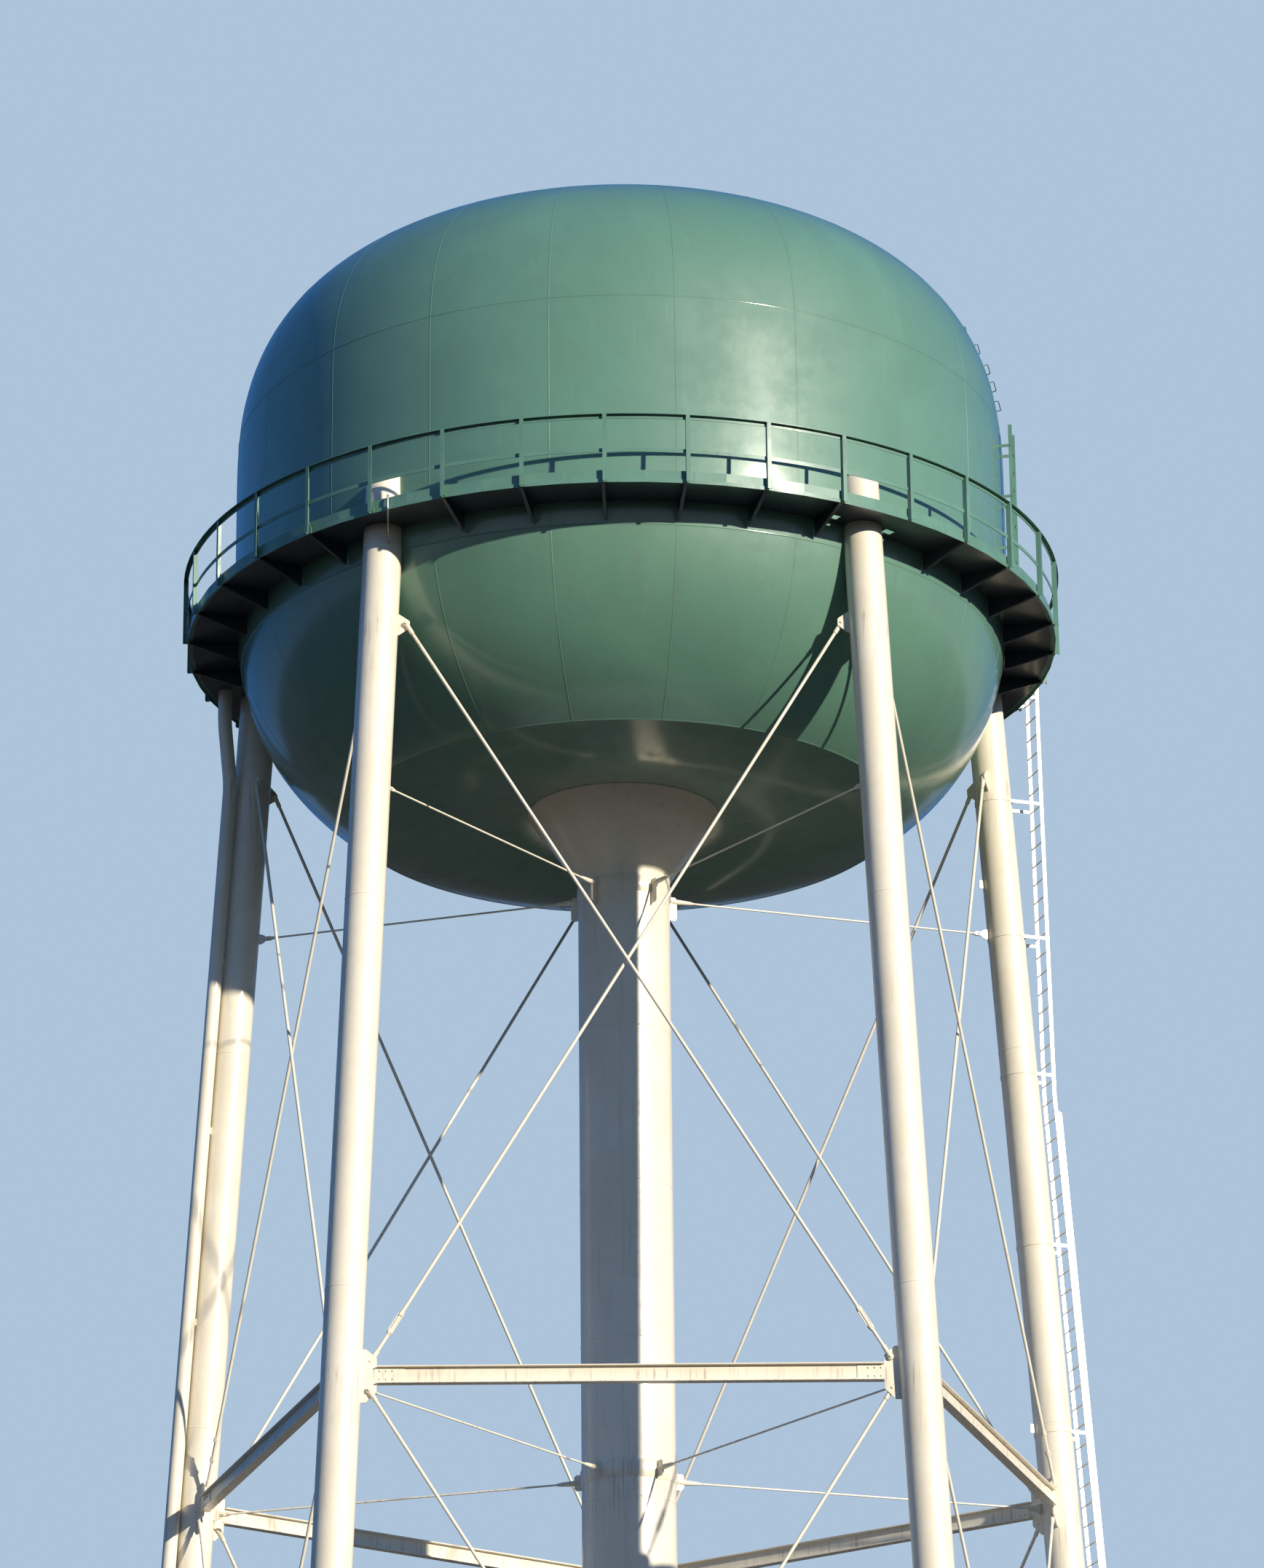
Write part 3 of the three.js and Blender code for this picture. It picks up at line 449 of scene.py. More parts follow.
class Surface:
    """A node material on the principled shader, with its patterns in the tower's own frame."""

    def __init__(self, name, roughness=0.4, metallic=0.0, coat=0.0, coat_roughness=0.1):
        self.material = bpy.data.materials.new(name)
        self.material.use_nodes = True
        self.tree = self.material.node_tree
        self.tree.nodes.clear()
        self.shader = self.node("ShaderNodeBsdfPrincipled")
        output = self.node("ShaderNodeOutputMaterial")
        self.tree.links.new(self.shader.outputs["BSDF"], output.inputs["Surface"])
        self.put(self.shader, "Roughness", roughness)
        self.put(self.shader, "Metallic", metallic)
        self.put(self.shader, "Coat Weight", coat)
        self.put(self.shader, "Coat Roughness", coat_roughness)
        self.place = self.node("ShaderNodeTexCoord").outputs["Object"]

    def node(self, kind, **settings):
        made = self.tree.nodes.new(kind)
        for key, value in settings.items():
            setattr(made, key, value)
        return made

    def put(self, node, socket, value):
        target = node.inputs[socket]
        if isinstance(value, bpy.types.NodeSocket):
            self.tree.links.new(value, target)
        else:
            target.default_value = value

    def stretched(self, x, y, z):
        node = self.node("ShaderNodeVectorMath", operation="MULTIPLY")
        self.put(node, 0, self.place)
        self.put(node, 1, (x, y, z))
        return node.outputs[0]

    def noise(self, scale, detail=4.0, roughness=0.55, vector=None, distortion=0.0):
        node = self.node("ShaderNodeTexNoise")
        self.put(node, "Vector", vector or self.place)
        self.put(node, "Scale", scale)
        self.put(node, "Detail", detail)
        self.put(node, "Roughness", roughness)
        self.put(node, "Distortion", distortion)
        return node.outputs["Fac"]

    def cells(self, scale):
        node = self.node("ShaderNodeTexVoronoi", feature="F1")
        self.put(node, "Vector", self.place)
        self.put(node, "Scale", scale)
        return node.outputs["Distance"]

    def ranged(self, value, low, high, to_low=0.0, to_high=1.0):
        node = self.node("ShaderNodeMapRange", interpolation_type="SMOOTHSTEP")
        self.put(node, "Value", value)
        self.put(node, "From Min", low)
        self.put(node, "From Max", high)
        self.put(node, "To Min", to_low)
        self.put(node, "To Max", to_high)
        return node.outputs[0]

    def math(self, operation, a, b=0.0):
        node = self.node("ShaderNodeMath", operation=operation)
        self.put(node, 0, a)
        self.put(node, 1, b)
        return node.outputs[0]

    def times(self, a, b):
        return self.math("MULTIPLY", a, b)

    def total(self, values):
        whole = values[0]
        for value in values[1:]:
            whole = self.math("ADD", whole, value)
        return whole

    def mixed(self, factor, a, b):
        node = self.node("ShaderNodeMix", data_type="RGBA", blend_type="MIX")
        node.inputs[0].default_value = 0.0
        self.put(node, 0, factor)
        for socket, value in ((6, a), (7, b)):
            self.put(node, socket, (*value, 1.0) if isinstance(value, tuple) else value)
        return node.outputs[2]

    def tinted(self, color, mask, strength, tint):
        """A colour turned towards a tint where a mask is high."""
        return self.mixed(self.times(mask, strength), color, tint)

    def part(self, axis):
        node = self.node("ShaderNodeSeparateXYZ")
        self.put(node, 0, self.place)
        return node.outputs[axis]

    def bump(self, height, distance, normal=None):
        node = self.node("ShaderNodeBump")
        self.put(node, "Strength", 1.0)
        self.put(node, "Distance", distance)
        self.put(node, "Height", height)
        if normal:
            self.put(node, "Normal", normal)
        return node.outputs[0]

    def finish(self, color, roughness=None, normal=None):
        self.put(self.shader, "Base Color", color)
        if roughness:
            self.put(self.shader, "Roughness", roughness)
        if normal:
            self.put(self.shader, "Normal", normal)
        return self.material


def from_level(surface, level, low, high):
    """1 at a level and 0 beyond low under it or high over it."""
    z = surface.math("SUBTRACT", surface.part(2), level)
    under = surface.ranged(z, -low, 0.0, 0.0, 1.0)
    over = surface.ranged(z, 0.0, high, 1.0, 0.0)
    return surface.times(under, over)


def streaks(surface, density, length, low, high):
    """Stains that run down, thin across and long in height."""
    place = surface.stretched(density, density, density / length)
    return surface.ranged(surface.noise(1.0, 5.0, 0.6, place), low, high)


def beside_petals(surface, width):
    """1 on the meridian seams between the tank's plates and 0 a width away."""
    x, y = surface.part(0), surface.part(1)
    angle = surface.math("ARCTAN2", x, surface.times(y, -1.0))
    offset = surface.math("SUBTRACT", angle, math.radians(FIRST_PETAL))
    apart = surface.math("PINGPONG", offset, math.pi / PETALS)
    squares = surface.math("ADD", surface.math("POWER", x, 2.0), surface.math("POWER", y, 2.0))
    return surface.ranged(surface.times(apart, surface.math("SQRT", squares)), 0.0, width, 1.0, 0.0)


def tank_paint(name, light, dark, grime):
    """Glossy green paint over welded plates: weathered in patches, with run-down stains."""
    s = Surface(name, coat=1.0, coat_roughness=0.15)
    patches = s.ranged(s.noise(0.32, 5.0, 0.6, distortion=0.6), 0.36, 0.66)
    color = s.mixed(patches, light, dark)
    mottle = s.ranged(s.noise(3.1, 6.0, 0.65), 0.3, 0.72)
    color = s.tinted(color, mottle, 0.16, tuple(v * 0.72 for v in dark))
    runs = streaks(s, 2.6, 16.0, 0.56, 0.76)
    color = s.tinted(color, runs, grime, (0.10, 0.12, 0.09))
    color = s.tinted(color, streaks(s, 11.0, 22.0, 0.6, 0.8), grime * 0.6, (0.42, 0.5, 0.42))
    seams = [beside_petals(s, 0.07)]
    seams += [from_level(s, ROOF_SEAM, 0.09, 0.05), from_level(s, BOWL_SEAM, 0.07, 0.05)]
    dirt = s.times(s.total(seams), s.ranged(s.noise(5.0, 4.0), 0.25, 0.7))
    color = s.tinted(color, s.math("MINIMUM", dirt, 1.0), 0.07, (0.07, 0.09, 0.07))
    rough = s.ranged(s.total([patches, mottle, runs]), 0.0, 2.4, 0.45, 0.62)
    wave = s.bump(s.noise(0.5, 2.0, 0.4), 0.01)
    plates = s.bump(s.noise(2.2, 3.0, 0.5), 0.0015, wave)
    peel = s.bump(s.noise(70.0, 2.0, 0.6), 0.0004, plates)
    return s.finish(color, rough, peel)


def pipe_paint(name, light, dark, rust_levels):
    """Cream paint on steel: chalky patches, thin stains, and rust under the lugs."""
    s = Surface(name, coat=0.3, coat_roughness=0.18)
    patches = s.ranged(s.noise(0.9, 5.0, 0.6, distortion=0.4), 0.35, 0.68)
    color = s.mixed(patches, light, dark)
    mottle = s.ranged(s.noise(9.0, 5.0, 0.6), 0.35, 0.75)
    color = s.tinted(color, mottle, 0.12, tuple(v * 0.7 for v in dark))
    color = s.tinted(color, streaks(s, 9.0, 26.0, 0.55, 0.78), 0.26, (0.30, 0.25, 0.17))
    under = s.total([from_level(s, level, 1.4, 0.12) for level in rust_levels])
    thin = streaks(s, 24.0, 34.0, 0.52, 0.7)
    stain = s.times(s.times(under, thin), 0.5)
    color = s.mixed(s.math("MINIMUM", stain, 1.0), color, (0.26, 0.12, 0.05))
    flecks = s.ranged(s.noise(34.0, 3.0, 0.7), 0.7, 0.76)
    spots = s.times(flecks, s.ranged(s.noise(2.0, 3.0), 0.5, 0.64))
    color = s.tinted(color, spots, 0.85, (0.17, 0.07, 0.03))
    rough = s.ranged(s.total([patches, mottle, spots]), 0.0, 2.2, 0.3, 0.6)
    rolled = s.bump(s.noise(28.0, 4.0, 0.6), 0.0012)
    peel = s.bump(s.noise(120.0, 2.0, 0.5), 0.0004, rolled)
    return s.finish(color, rough, peel)


def rail_paint():
    """Green paint on bars and plates: uneven in patches, with dirty streaks and rusty chips."""
    s = Surface("rail_green", coat=0.2, coat_roughness=0.15)
    patches = s.ranged(s.noise(1.4, 5.0, 0.6), 0.35, 0.68)
    color = s.mixed(patches, (0.13, 0.27, 0.205), (0.1, 0.215, 0.165))
    runs = streaks(s, 12.0, 12.0, 0.55, 0.75)
    color = s.tinted(color, runs, 0.3, (0.06, 0.08, 0.06))
    chips = s.ranged(s.noise(42.0, 3.0, 0.7), 0.7, 0.75)
    color = s.tinted(color, chips, 0.7, (0.16, 0.07, 0.03))
    rough = s.ranged(s.total([patches, runs, chips]), 0.0, 2.0, 0.3, 0.6)
    return s.finish(color, rough, s.bump(s.noise(60.0, 3.0, 0.6), 0.0008))


def walkway_shade_paint():
    """Near-black paint on the walkway's plates and brackets, a painted shade for the shade under the balcony,
    with patches of rust.
    """
    s = Surface("walkway_painted_shade", coat=0.5, coat_roughness=0.2)
    patches = s.ranged(s.noise(1.1, 5.0, 0.6), 0.35, 0.68)
    color = s.mixed(patches, (0.026, 0.038, 0.05), (0.016, 0.025, 0.034))
    rust = s.ranged(s.noise(7.0, 5.0, 0.7), 0.62, 0.72)
    color = s.tinted(color, rust, 0.5, (0.09, 0.05, 0.03))
    rough = s.ranged(s.total([patches, rust]), 0.0, 2.0, 0.45, 0.7)
    return s.finish(color, rough, s.bump(s.noise(40.0, 3.0, 0.6), 0.001))


def cast_concrete():
    """Cast concrete: blotchy, with small pores, and darker where it meets the ground."""
    s = Surface("cast_concrete", roughness=0.9)
    blotches = s.ranged(s.noise(1.7, 6.0, 0.65), 0.3, 0.7)
    color = s.mixed(blotches, (0.42, 0.4, 0.36), (0.29, 0.275, 0.25))
    grit = s.noise(60.0, 4.0, 0.7)
    color = s.mixed(s.ranged(grit, 0.4, 0.75, 0.0, 0.35), color, (0.5, 0.48, 0.44))
    pores = s.ranged(s.cells(26.0), 0.0, 0.16, 1.0, 0.0)
    color = s.tinted(color, pores, 0.6, (0.12, 0.11, 0.1))
    damp = s.ranged(s.part(2), 0.0, 0.16, 1.0, 0.0)
    color = s.tinted(color, damp, s.ranged(s.noise(6.0), 0.3, 0.7, 0.2, 0.75), (0.16, 0.145, 0.12))
    height = s.math("SUBTRACT", s.times(grit, 0.4), pores)
    return s.finish(color, s.ranged(grit, 0.3, 0.7, 0.8, 0.97), s.bump(height, 0.004))


def galvanised():
    """Zinc-coated steel of the anchor bolts and the conduit."""
    s = Surface("zinc_steel", metallic=0.75)
    spangle = s.cells(55.0)
    color = s.mixed(s.ranged(spangle, 0.0, 0.8), (0.5, 0.51, 0.52), (0.36, 0.37, 0.38))
    dull = s.ranged(s.noise(8.0, 4.0), 0.4, 0.7)
    color = s.tinted(color, dull, 0.5, (0.27, 0.24, 0.2))
    return s.finish(color, s.ranged(dull, 0.0, 1.0, 0.35, 0.65), s.bump(s.noise(90.0, 2.0), 0.0005))


RUST_LEVELS = (TOP_LUG_LEVEL, STRUT_LEVEL, FOOT_LUG_LEVEL + 0.3)
GREEN = tank_paint("tank_green", (0.125, 0.265, 0.188), (0.1, 0.225, 0.162), 0.2)
CREAM = pipe_paint("leg_cream", (0.87, 0.8, 0.65), (0.81, 0.73, 0.57), RUST_LEVELS)
RAIL = rail_paint()
# The walkway's near-black colour is painted shade, standing in for the shade under the balcony.
WALKWAY_SHADE = walkway_shade_paint()
CONCRETE = cast_concrete()
ZINC = galvanised()


# Tank


def head_point(spring, rise, power, angle):
    share = max(math.sin(angle), 0.0) ** (2 / power)
    return (TANK_RADIUS * max(math.cos(angle), 0.0) ** (2 / power), spring + rise * share)


def head_angle(share, power):
    return math.asin(share ** (power / 2))


def roof_line(steps):
    start = head_angle((ROOF_SEAM - ROOF_SPRING) / ROOF_RISE, ROOF_POWER)
    line = [head_point(ROOF_SPRING, ROOF_RISE, ROOF_POWER, a) for a in spread(start, math.pi / 2, steps)]
    line[-1] = (0.0, ROOF_SPRING + ROOF_RISE)
    return line


def bowl_point(z):
    angle = head_angle((BOWL_SPRING - z) / BOWL_DROP, BOWL_POWER)
    return head_point(BOWL_SPRING, -BOWL_DROP, BOWL_POWER, angle)


def shell_line():
    lower = [bowl_point(z) for z in spread(BOWL_SEAM, BOWL_SPRING - 0.02, 8)]
    upper_angles = spread(0.02, head_angle((ROOF_SEAM - ROOF_SPRING) / ROOF_RISE, ROOF_POWER), 4)
    upper = [head_point(ROOF_SPRING, ROOF_RISE, ROOF_POWER, a) for a in upper_angles]
    return [*lower, (TANK_RADIUS, BOWL_SPRING), (TANK_RADIUS, ROOF_SPRING), *upper]


def knuckle_line(steps):
    start = math.acos((DISH_RADIUS / TANK_RADIUS) ** (BOWL_POWER / 2))
    end = head_angle((BOWL_SPRING - BOWL_SEAM) / BOWL_DROP, BOWL_POWER)
    return [head_point(BOWL_SPRING, -BOWL_DROP, BOWL_POWER, a) for a in spread(start, end, steps)]


def dish_line(steps):
    edge = knuckle_line(1)[0][1]
    line = []
    for r in spread(DISH_HOLE_RADIUS, DISH_RADIUS, steps):
        t = (DISH_RADIUS - r) / (DISH_RADIUS - DISH_HOLE_RADIUS)
        line.append((r, edge + DISH_RISE * t - 4 * DISH_SAG * t * (1 - t)))
    return line


def normals_of(line):
    """Unit normals of a line of (radius, height), outwards where it climbs."""
    normals = []
    for i in range(len(line)):
        r0, z0 = line[max(i - 1, 0)]
        r1, z1 = line[min(i + 1, len(line) - 1)]
        length = math.hypot(r1 - r0, z1 - z0)
        normals.append(((z1 - z0) / length, (r0 - r1) / length))
    return normals


def skin(shape, line):
    """A plate of the tank: the line outside, and the wall's thickness inside."""
    inner = []
    for (r, z), (nr, nz) in zip(line, normals_of(line)):
        inner.append((max(r - nr * TANK_WALL, 0.0), z - nz * TANK_WALL))
    shape.lathe([*line, *reversed(inner)], TANK_SIDES)


def petal_seams(shape, line, first, count):
    """Weld beads along the meridians, between the plates."""
    w, h = SEAM_WIDTH / 2, SEAM_HEIGHT
    section = [(-w, -SEAM_ROOT), (w, -SEAM_ROOT), (w * 0.5, h * 0.85), (0, h), (-w * 0.5, h * 0.85)]
    for k in range(count):
        azimuth = first + 360 * k / count
        side = polar(azimuth + 90, 1, 0)
        frames = []
        for (r, z), (nr, nz) in zip(line, normals_of(line)):
            frames.append((polar(azimuth, r, z), side, polar(azimuth, nr, nz)))
        shape.sweep(section, frames)


def tank_plates(name, nodes, line, welds=(), seamed=None, first=FIRST_PETAL, petals=PETALS):
    """A course of plates with its seams, and welds round it at (index in the line, height)."""
    plates = Shape()
    skin(plates, line)
    petal_seams(plates, seamed or line, first, petals)
    for index, height in welds:
        plates.weld(*line[index], *normals_of(line)[index], TANK_SIDES, WELD_WIDTH, height)
    plates.made(name, GREEN, "tank_paint", nodes, 25)


def dress_tank():
    roof = roof_line(40)
    crown = next(i for i, point in enumerate(roof) if point[0] < CROWN_WELD_RADIUS)
    seamed = [point for point in roof if point[0] > CROWN_SEAM_END]
    tank_plates("roof_plates", ["tank_roof"], roof, [(0, WELD_HEIGHT), (crown, WELD_HEIGHT)], seamed)
    tank_plates("shell_plates", ["tank_shell"], shell_line())
    bowl = ["tank_bowl", *[f"tank_knuckle_{side}" for side in ("front", "right", "back", "left")]]
    tank_plates("bowl_plates", bowl, knuckle_line(28), [(-1, WELD_HEIGHT), (0, KNUCKLE_WELD_HEIGHT)])
    between = FIRST_PETAL + 180 / PETALS
    tank_plates("bottom_plate", ["tank_bottom"], dish_line(16), first=between, petals=PETALS // 2)


def bell_line():
    """The outside of the bell, from its neck on the riser to the tank's bottom."""
    *neck, (r0, z0) = [(RISER_RADIUS + out, BELL_FOOT + up) for out, up in BELL_NECK]
    cone = [(r0 + (BELL_RADIUS - r0) * t, z0 + (BELL_RIM - z0) * t) for t in spread(0, 1, 6)]
    return [*neck, *cone, (BELL_RADIUS + 0.001, dish_line(1)[0][1])]


def dress_bell():
    line = bell_line()
    inner = [(r - TANK_WALL, z) for r, z in line]
    bell = Shape()
    bell.lathe([*line, *reversed(inner)], RISER_SIDES)
    shoulder = len(BELL_NECK) - 1
    petal_seams(bell, line[shoulder:-1], FIRST_BELL_SEAM, BELL_SEAMS)
    bell.weld(line[0][0], line[0][1] + 0.004, 1, 0, RISER_SIDES, 0.024, 0.007)
    bell.weld(*line[shoulder], 0.85, -0.5, RISER_SIDES, 0.02, 0.005)
    bell.weld(BELL_RADIUS, line[-1][1] - 0.006, 0.8, -0.6, RISER_SIDES, WELD_WIDTH, 0.01)
    bell.made("bell_cone", CREAM, "leg_paint", ["riser_bell"], 30)


def dress_riser():
    bottom, top = PIER_TOP + SEAT_GAP, BELL_FOOT - SEAT_GAP
    flange, rim, c = bottom + PLATE, RISER_FLANGE, FLANGE_CHAMFER
    base = [(0, bottom), (rim - c, bottom), (rim, bottom + c), (rim, flange - c), (rim - c, flange)]
    riser = Shape()
    riser.lathe([*base, (RISER_RADIUS, flange), (RISER_RADIUS, top), (0, top)], RISER_SIDES)
    for z in spread(*RISER_WELDS):
        riser.weld(RISER_RADIUS, z, 1, 0, RISER_SIDES)
    riser.weld(RISER_RADIUS, flange, 0.7, 0.7, RISER_SIDES, WELD_WIDTH, 0.016)
    riser.made("riser_tube", CREAM, "leg_paint", ["riser_pipe"], 30)

    bolts = Shape()
    for k in range(RISER_BOLTS):
        azimuth = 360 / RISER_BOLTS * k + FIRST_RISER_BOLT
        bolts.bolt(polar(azimuth, RISER_BOLT_CIRCLE, flange), (0, 0, 1), 0.022)
    bolts.made("riser_anchor_bolts", ZINC, "leg_paint")

    c, top = PIER_CHAMFER, PIER_TOP
    pier = Shape()
    pier.lathe([(0, 0), (RISER_PIER, 0), (RISER_PIER, top - c), (RISER_PIER - c, top), (0, top)], RISER_SIDES)
    pier.made("riser_footing", CONCRETE, "concrete", ["riser_pier"])


# Legs


def leg_circle(height):
    return LEG_CIRCLE + LEG_BATTER * (BALCONY - height)


def leg_point(height, azimuth=0.0):
    return polar(azimuth, leg_circle(height), height)


def leg_azimuth(number):
    return LEG_STEP * (number - 1.5)


LEG_UP = (leg_point(BALCONY) - leg_point(0)).normalized()


def lug_outline(half, nose, shoulder):
    """A plate from the pipe's middle to its reach, narrower from its shoulder to its nose."""
    outer, edge = LEG_RADIUS + LUG_REACH, LEG_RADIUS + LUG_REACH * shoulder
    return mirrored([(0.0, -half), (edge, -half), (outer - LUG_CORNER, -nose), (outer, -nose + LUG_CORNER)])


def side_plate(shape, level, outline, hand):
    """A plate on a leg, towards the next leg on that hand."""
    half = math.radians(LEG_STEP / 2)
    out = Vector((hand * math.cos(half), math.sin(half), 0))
    shape.upright_plate(outline, LUG, aimed(leg_point(level), out.cross(LEG_UP), out))


def inner_plate(shape, level, lower):
    """A plate on the side of a leg that faces the riser, given by the lower half of its outline."""
    shape.plate(mirrored(lower), LUG, aimed(leg_point(level), (1, 0, 0), (0, 1, 0)))


def ring_on_leg(shape, level, section):
    """A section of (distance off the pipe, distance up the leg), carried round the leg."""
    side = LEG_UP.cross(Vector((1, 0, 0))).normalized()
    across = LEG_UP.cross(side)
    frames = []
    for a in spread(0, 2 * math.pi, LEG_SIDES)[:-1]:
        out = side * math.cos(a) + across * math.sin(a)
        frames.append((leg_point(level) + out * LEG_RADIUS, out, LEG_UP))
    shape.sweep(section, frames, closed=True)


def leg_shape():
    leg = Shape()
    leg_pipe(leg)
    base = leg_point(PIER_TOP) + Vector((0, 0, SEAT_GAP + PLATE / 2))
    leg.plate(cut_square(BASE_PLATE, BASE_CORNER), PLATE, aimed(base, (0, 0, 1), (1, 0, 0)))
    for level in LEG_WELD_LEVELS:
        ring_on_leg(leg, level, LEG_WELD)
    for hand in (-1, 1):
        side_plate(leg, TOP_LUG_LEVEL, lug_outline(0.17, 0.07, 0.05), hand)
        side_plate(leg, STRUT_LEVEL, strut_lug_outline(), hand)
        side_plate(leg, FOOT_LUG_LEVEL, lug_outline(0.2, 0.11, 0.35), hand)
    reach, half = LEG_RADIUS + TIE_LUG_REACH, TIE_LUG_HALF
    for level in (UPPER_TIE_LEVEL, LOWER_TIE_LEVEL):
        inner_plate(leg, level, [(0, -half), (reach - TIE_LUG_SLANT, -half), (reach, -TIE_LUG_NOSE)])
    base_gussets(leg)
    return leg


def leg_pipe(leg):
    """The pipe from its foot to a slanted cap, which rises towards the tank."""
    side = Vector((1, 0, 0))
    across = LEG_UP.cross(side)
    slope = math.tan(math.radians(LEG_CAP_SLOPE) + math.atan(LEG_BATTER))
    frames = [(leg_point(level), side, across) for level in (PIER_TOP + PLATE / 2, STRUT_LEVEL)]
    frames.append((leg_point(LEG_TOP), side, across + LEG_UP * slope))
    leg.sweep(circle(LEG_RADIUS, LEG_SIDES), frames)


def strut_lug_outline():
    """The plate that carries a strut, a little longer below than above."""
    reach, edge = LEG_RADIUS + STRUT_LUG_REACH, LEG_RADIUS + STRUT_LUG_EDGE
    return [(0, -0.4), (edge, -0.4), (reach, -0.25), (reach, 0.25), (edge, 0.38), (0, 0.38)]


def base_gussets(leg):
    """Triangular stiffeners between the pipe and its base plate."""
    inner, edge, reach = LEG_RADIUS - 0.03, LEG_RADIUS + 0.02, GUSSET_REACH
    outline = [(inner, 0), (reach, 0), (reach, GUSSET_TIP), (edge, GUSSET_HEIGHT), (inner, GUSSET_HEIGHT)]
    for k in range(GUSSETS):
        a = math.radians(360 / GUSSETS * (k + 0.5))
        out = Vector((math.cos(a), math.sin(a), 0))
        matrix = aimed(leg_point(PIER_TOP + PLATE), out.cross(Vector((0, 0, 1))), out)
        leg.upright_plate(outline, GUSSET_PLATE, matrix)


def leg_bolts():
    """The anchor bolts of one leg at azimuth 0."""
    bolts = Shape()
    foot = leg_point(PIER_TOP)
    for x in (-ANCHOR_OFFSET, ANCHOR_OFFSET):
        for y in (-ANCHOR_OFFSET, ANCHOR_OFFSET):
            bolts.bolt((x, foot.y + y, PIER_TOP + PLATE), (0, 0, 1), 0.026)
    return bolts


def leg_pier():
    """The square footing of one leg at azimuth 0, with a chamfered top edge."""
    s, c = PIER_SIDE / 2, PIER_CHAMFER
    y = -leg_circle(PIER_TOP)
    steps = [(0.0, s), (PIER_TOP - c, s), (PIER_TOP, s - c)]
    pier = Shape()
    pier.sweep(rectangle(2, 2), [(Vector((0, y, z)), Vector((w, 0, 0)), Vector((0, w, 0))) for z, w in steps])
    return pier


def dress_legs():
    leg, bolts, pier = leg_shape(), leg_bolts(), leg_pier()
    anchors = Shape()
    for n in range(1, LEG_COUNT + 1):
        place = turned(leg_azimuth(n))
        leg.at(place).made(f"pipe_leg_{n}", CREAM, "leg_paint", [f"leg_{n}"])
        pier.at(place).made(f"footing_{n}", CONCRETE, "concrete", [f"leg_pier_{n}"])
        anchors.copy(bolts, place)
    anchors.made("leg_anchor_bolts", ZINC, "leg_paint")

    reach, half = LEG_RADIUS + PAD_REACH, PAD_HEIGHT / 2
    pads = Shape()
    for level in PAD_LEVELS:
        inner_plate(pads, level, [(0, -half), (reach, -half)])
    pads.at(turned(leg_azimuth(PAD_LEG))).made("leg_pads", CREAM, "leg_paint")


# Sides of the tower, drawn at azimuth 0, between the legs at half a step left and right


def strut_shape():
    """An I-section, with bolted plates on both faces of its web at each end."""
    step = math.radians(LEG_STEP / 2)
    half = leg_circle(STRUT_LEVEL + STRUT_DEPTH / 2) * math.sin(step)
    length = half - LEG_RADIUS - STRUT_LUG_REACH - SEAT_GAP
    y = -leg_circle(STRUT_LEVEL) * math.cos(step)
    w, d, web, fillet = STRUT_WIDTH / 2, STRUT_DEPTH / 2, STRUT_WEB / 2, STRUT_FILLET
    inner = d - STRUT_FLANGE
    root = [(web + fillet, inner), (web + fillet * 0.3, inner - fillet * 0.3), (web, inner - fillet)]
    right = mirrored([(w, d), (w, inner), *root])
    outline = [*right, *[(-x, z) for x, z in reversed(right)]]
    strut = Shape()
    ends = [Vector((-length, y, STRUT_LEVEL)), Vector((length, y, STRUT_LEVEL))]
    strut.sweep(outline, [(end, Vector((0, 1, 0)), Vector((0, 0, 1))) for end in ends])
    off = (STRUT_WEB + SPLICE_PLATE) / 2
    for hand in (-1, 1):
        for face in (-1, 1):
            matrix = aimed((hand * (length - 0.17), y + face * off, STRUT_LEVEL), (0, 1, 0), (1, 0, 0))
            strut.plate(rectangle(*SPLICE), SPLICE_PLATE, matrix)
            outside = y + face * (off + SPLICE_PLATE / 2)
            for i in range(3):
                for z in (-0.06, 0.06):
                    place = (hand * (length - 0.04 - 0.09 * i), outside, STRUT_LEVEL + z)
                    strut.bolt(place, (0, face, 0), 0.014)
    return strut


def rod_ends(high, low, hand):
    """The pins of a rod, high near one leg and low near the other, on one face of the lugs."""
    across = Vector((hand, 0, 0))
    start = leg_point(high, -hand * LEG_STEP / 2) + across * (LEG_RADIUS + PIN_REACH)
    end = leg_point(low, hand * LEG_STEP / 2) - across * (LEG_RADIUS + PIN_REACH)
    slope = LEG_BATTER * math.cos(math.radians(LEG_STEP / 2))
    normal = Vector((0, -1, slope)).normalized()
    return start, end, normal


def rod_shape(high, low, hand):
    """A round rod with a fork and pin at each end and a turnbuckle near its foot."""
    start, end, normal = rod_ends(high, low, hand)
    shift = normal * hand * (LUG / 2 + ROD_RADIUS + SEAT_GAP)
    start, end = start + shift, end + shift
    direction = (end - start).normalized()
    length = (end - start).length
    rod = Shape()
    rod.cylinder(start + direction * 0.05, direction, ROD_RADIUS, length - 0.1, 20)
    for point, way in ((start, direction), (end, -direction)):
        rod.cylinder(point - normal * 0.021, normal, 0.045, 0.042, 24)
        rod.cylinder(point + way * 0.03, way, ROD_RADIUS * 1.35, 0.16, 20)
        rod.cylinder(point - normal * hand * 0.06, normal * hand, 0.019, 0.105, 14)
        rod.cylinder(point + normal * hand * 0.02, normal * hand, 0.03, 0.012, 6)
    turnbuckle(rod, end - direction * TURNBUCKLE_FROM_FOOT, direction, normal)
    return rod


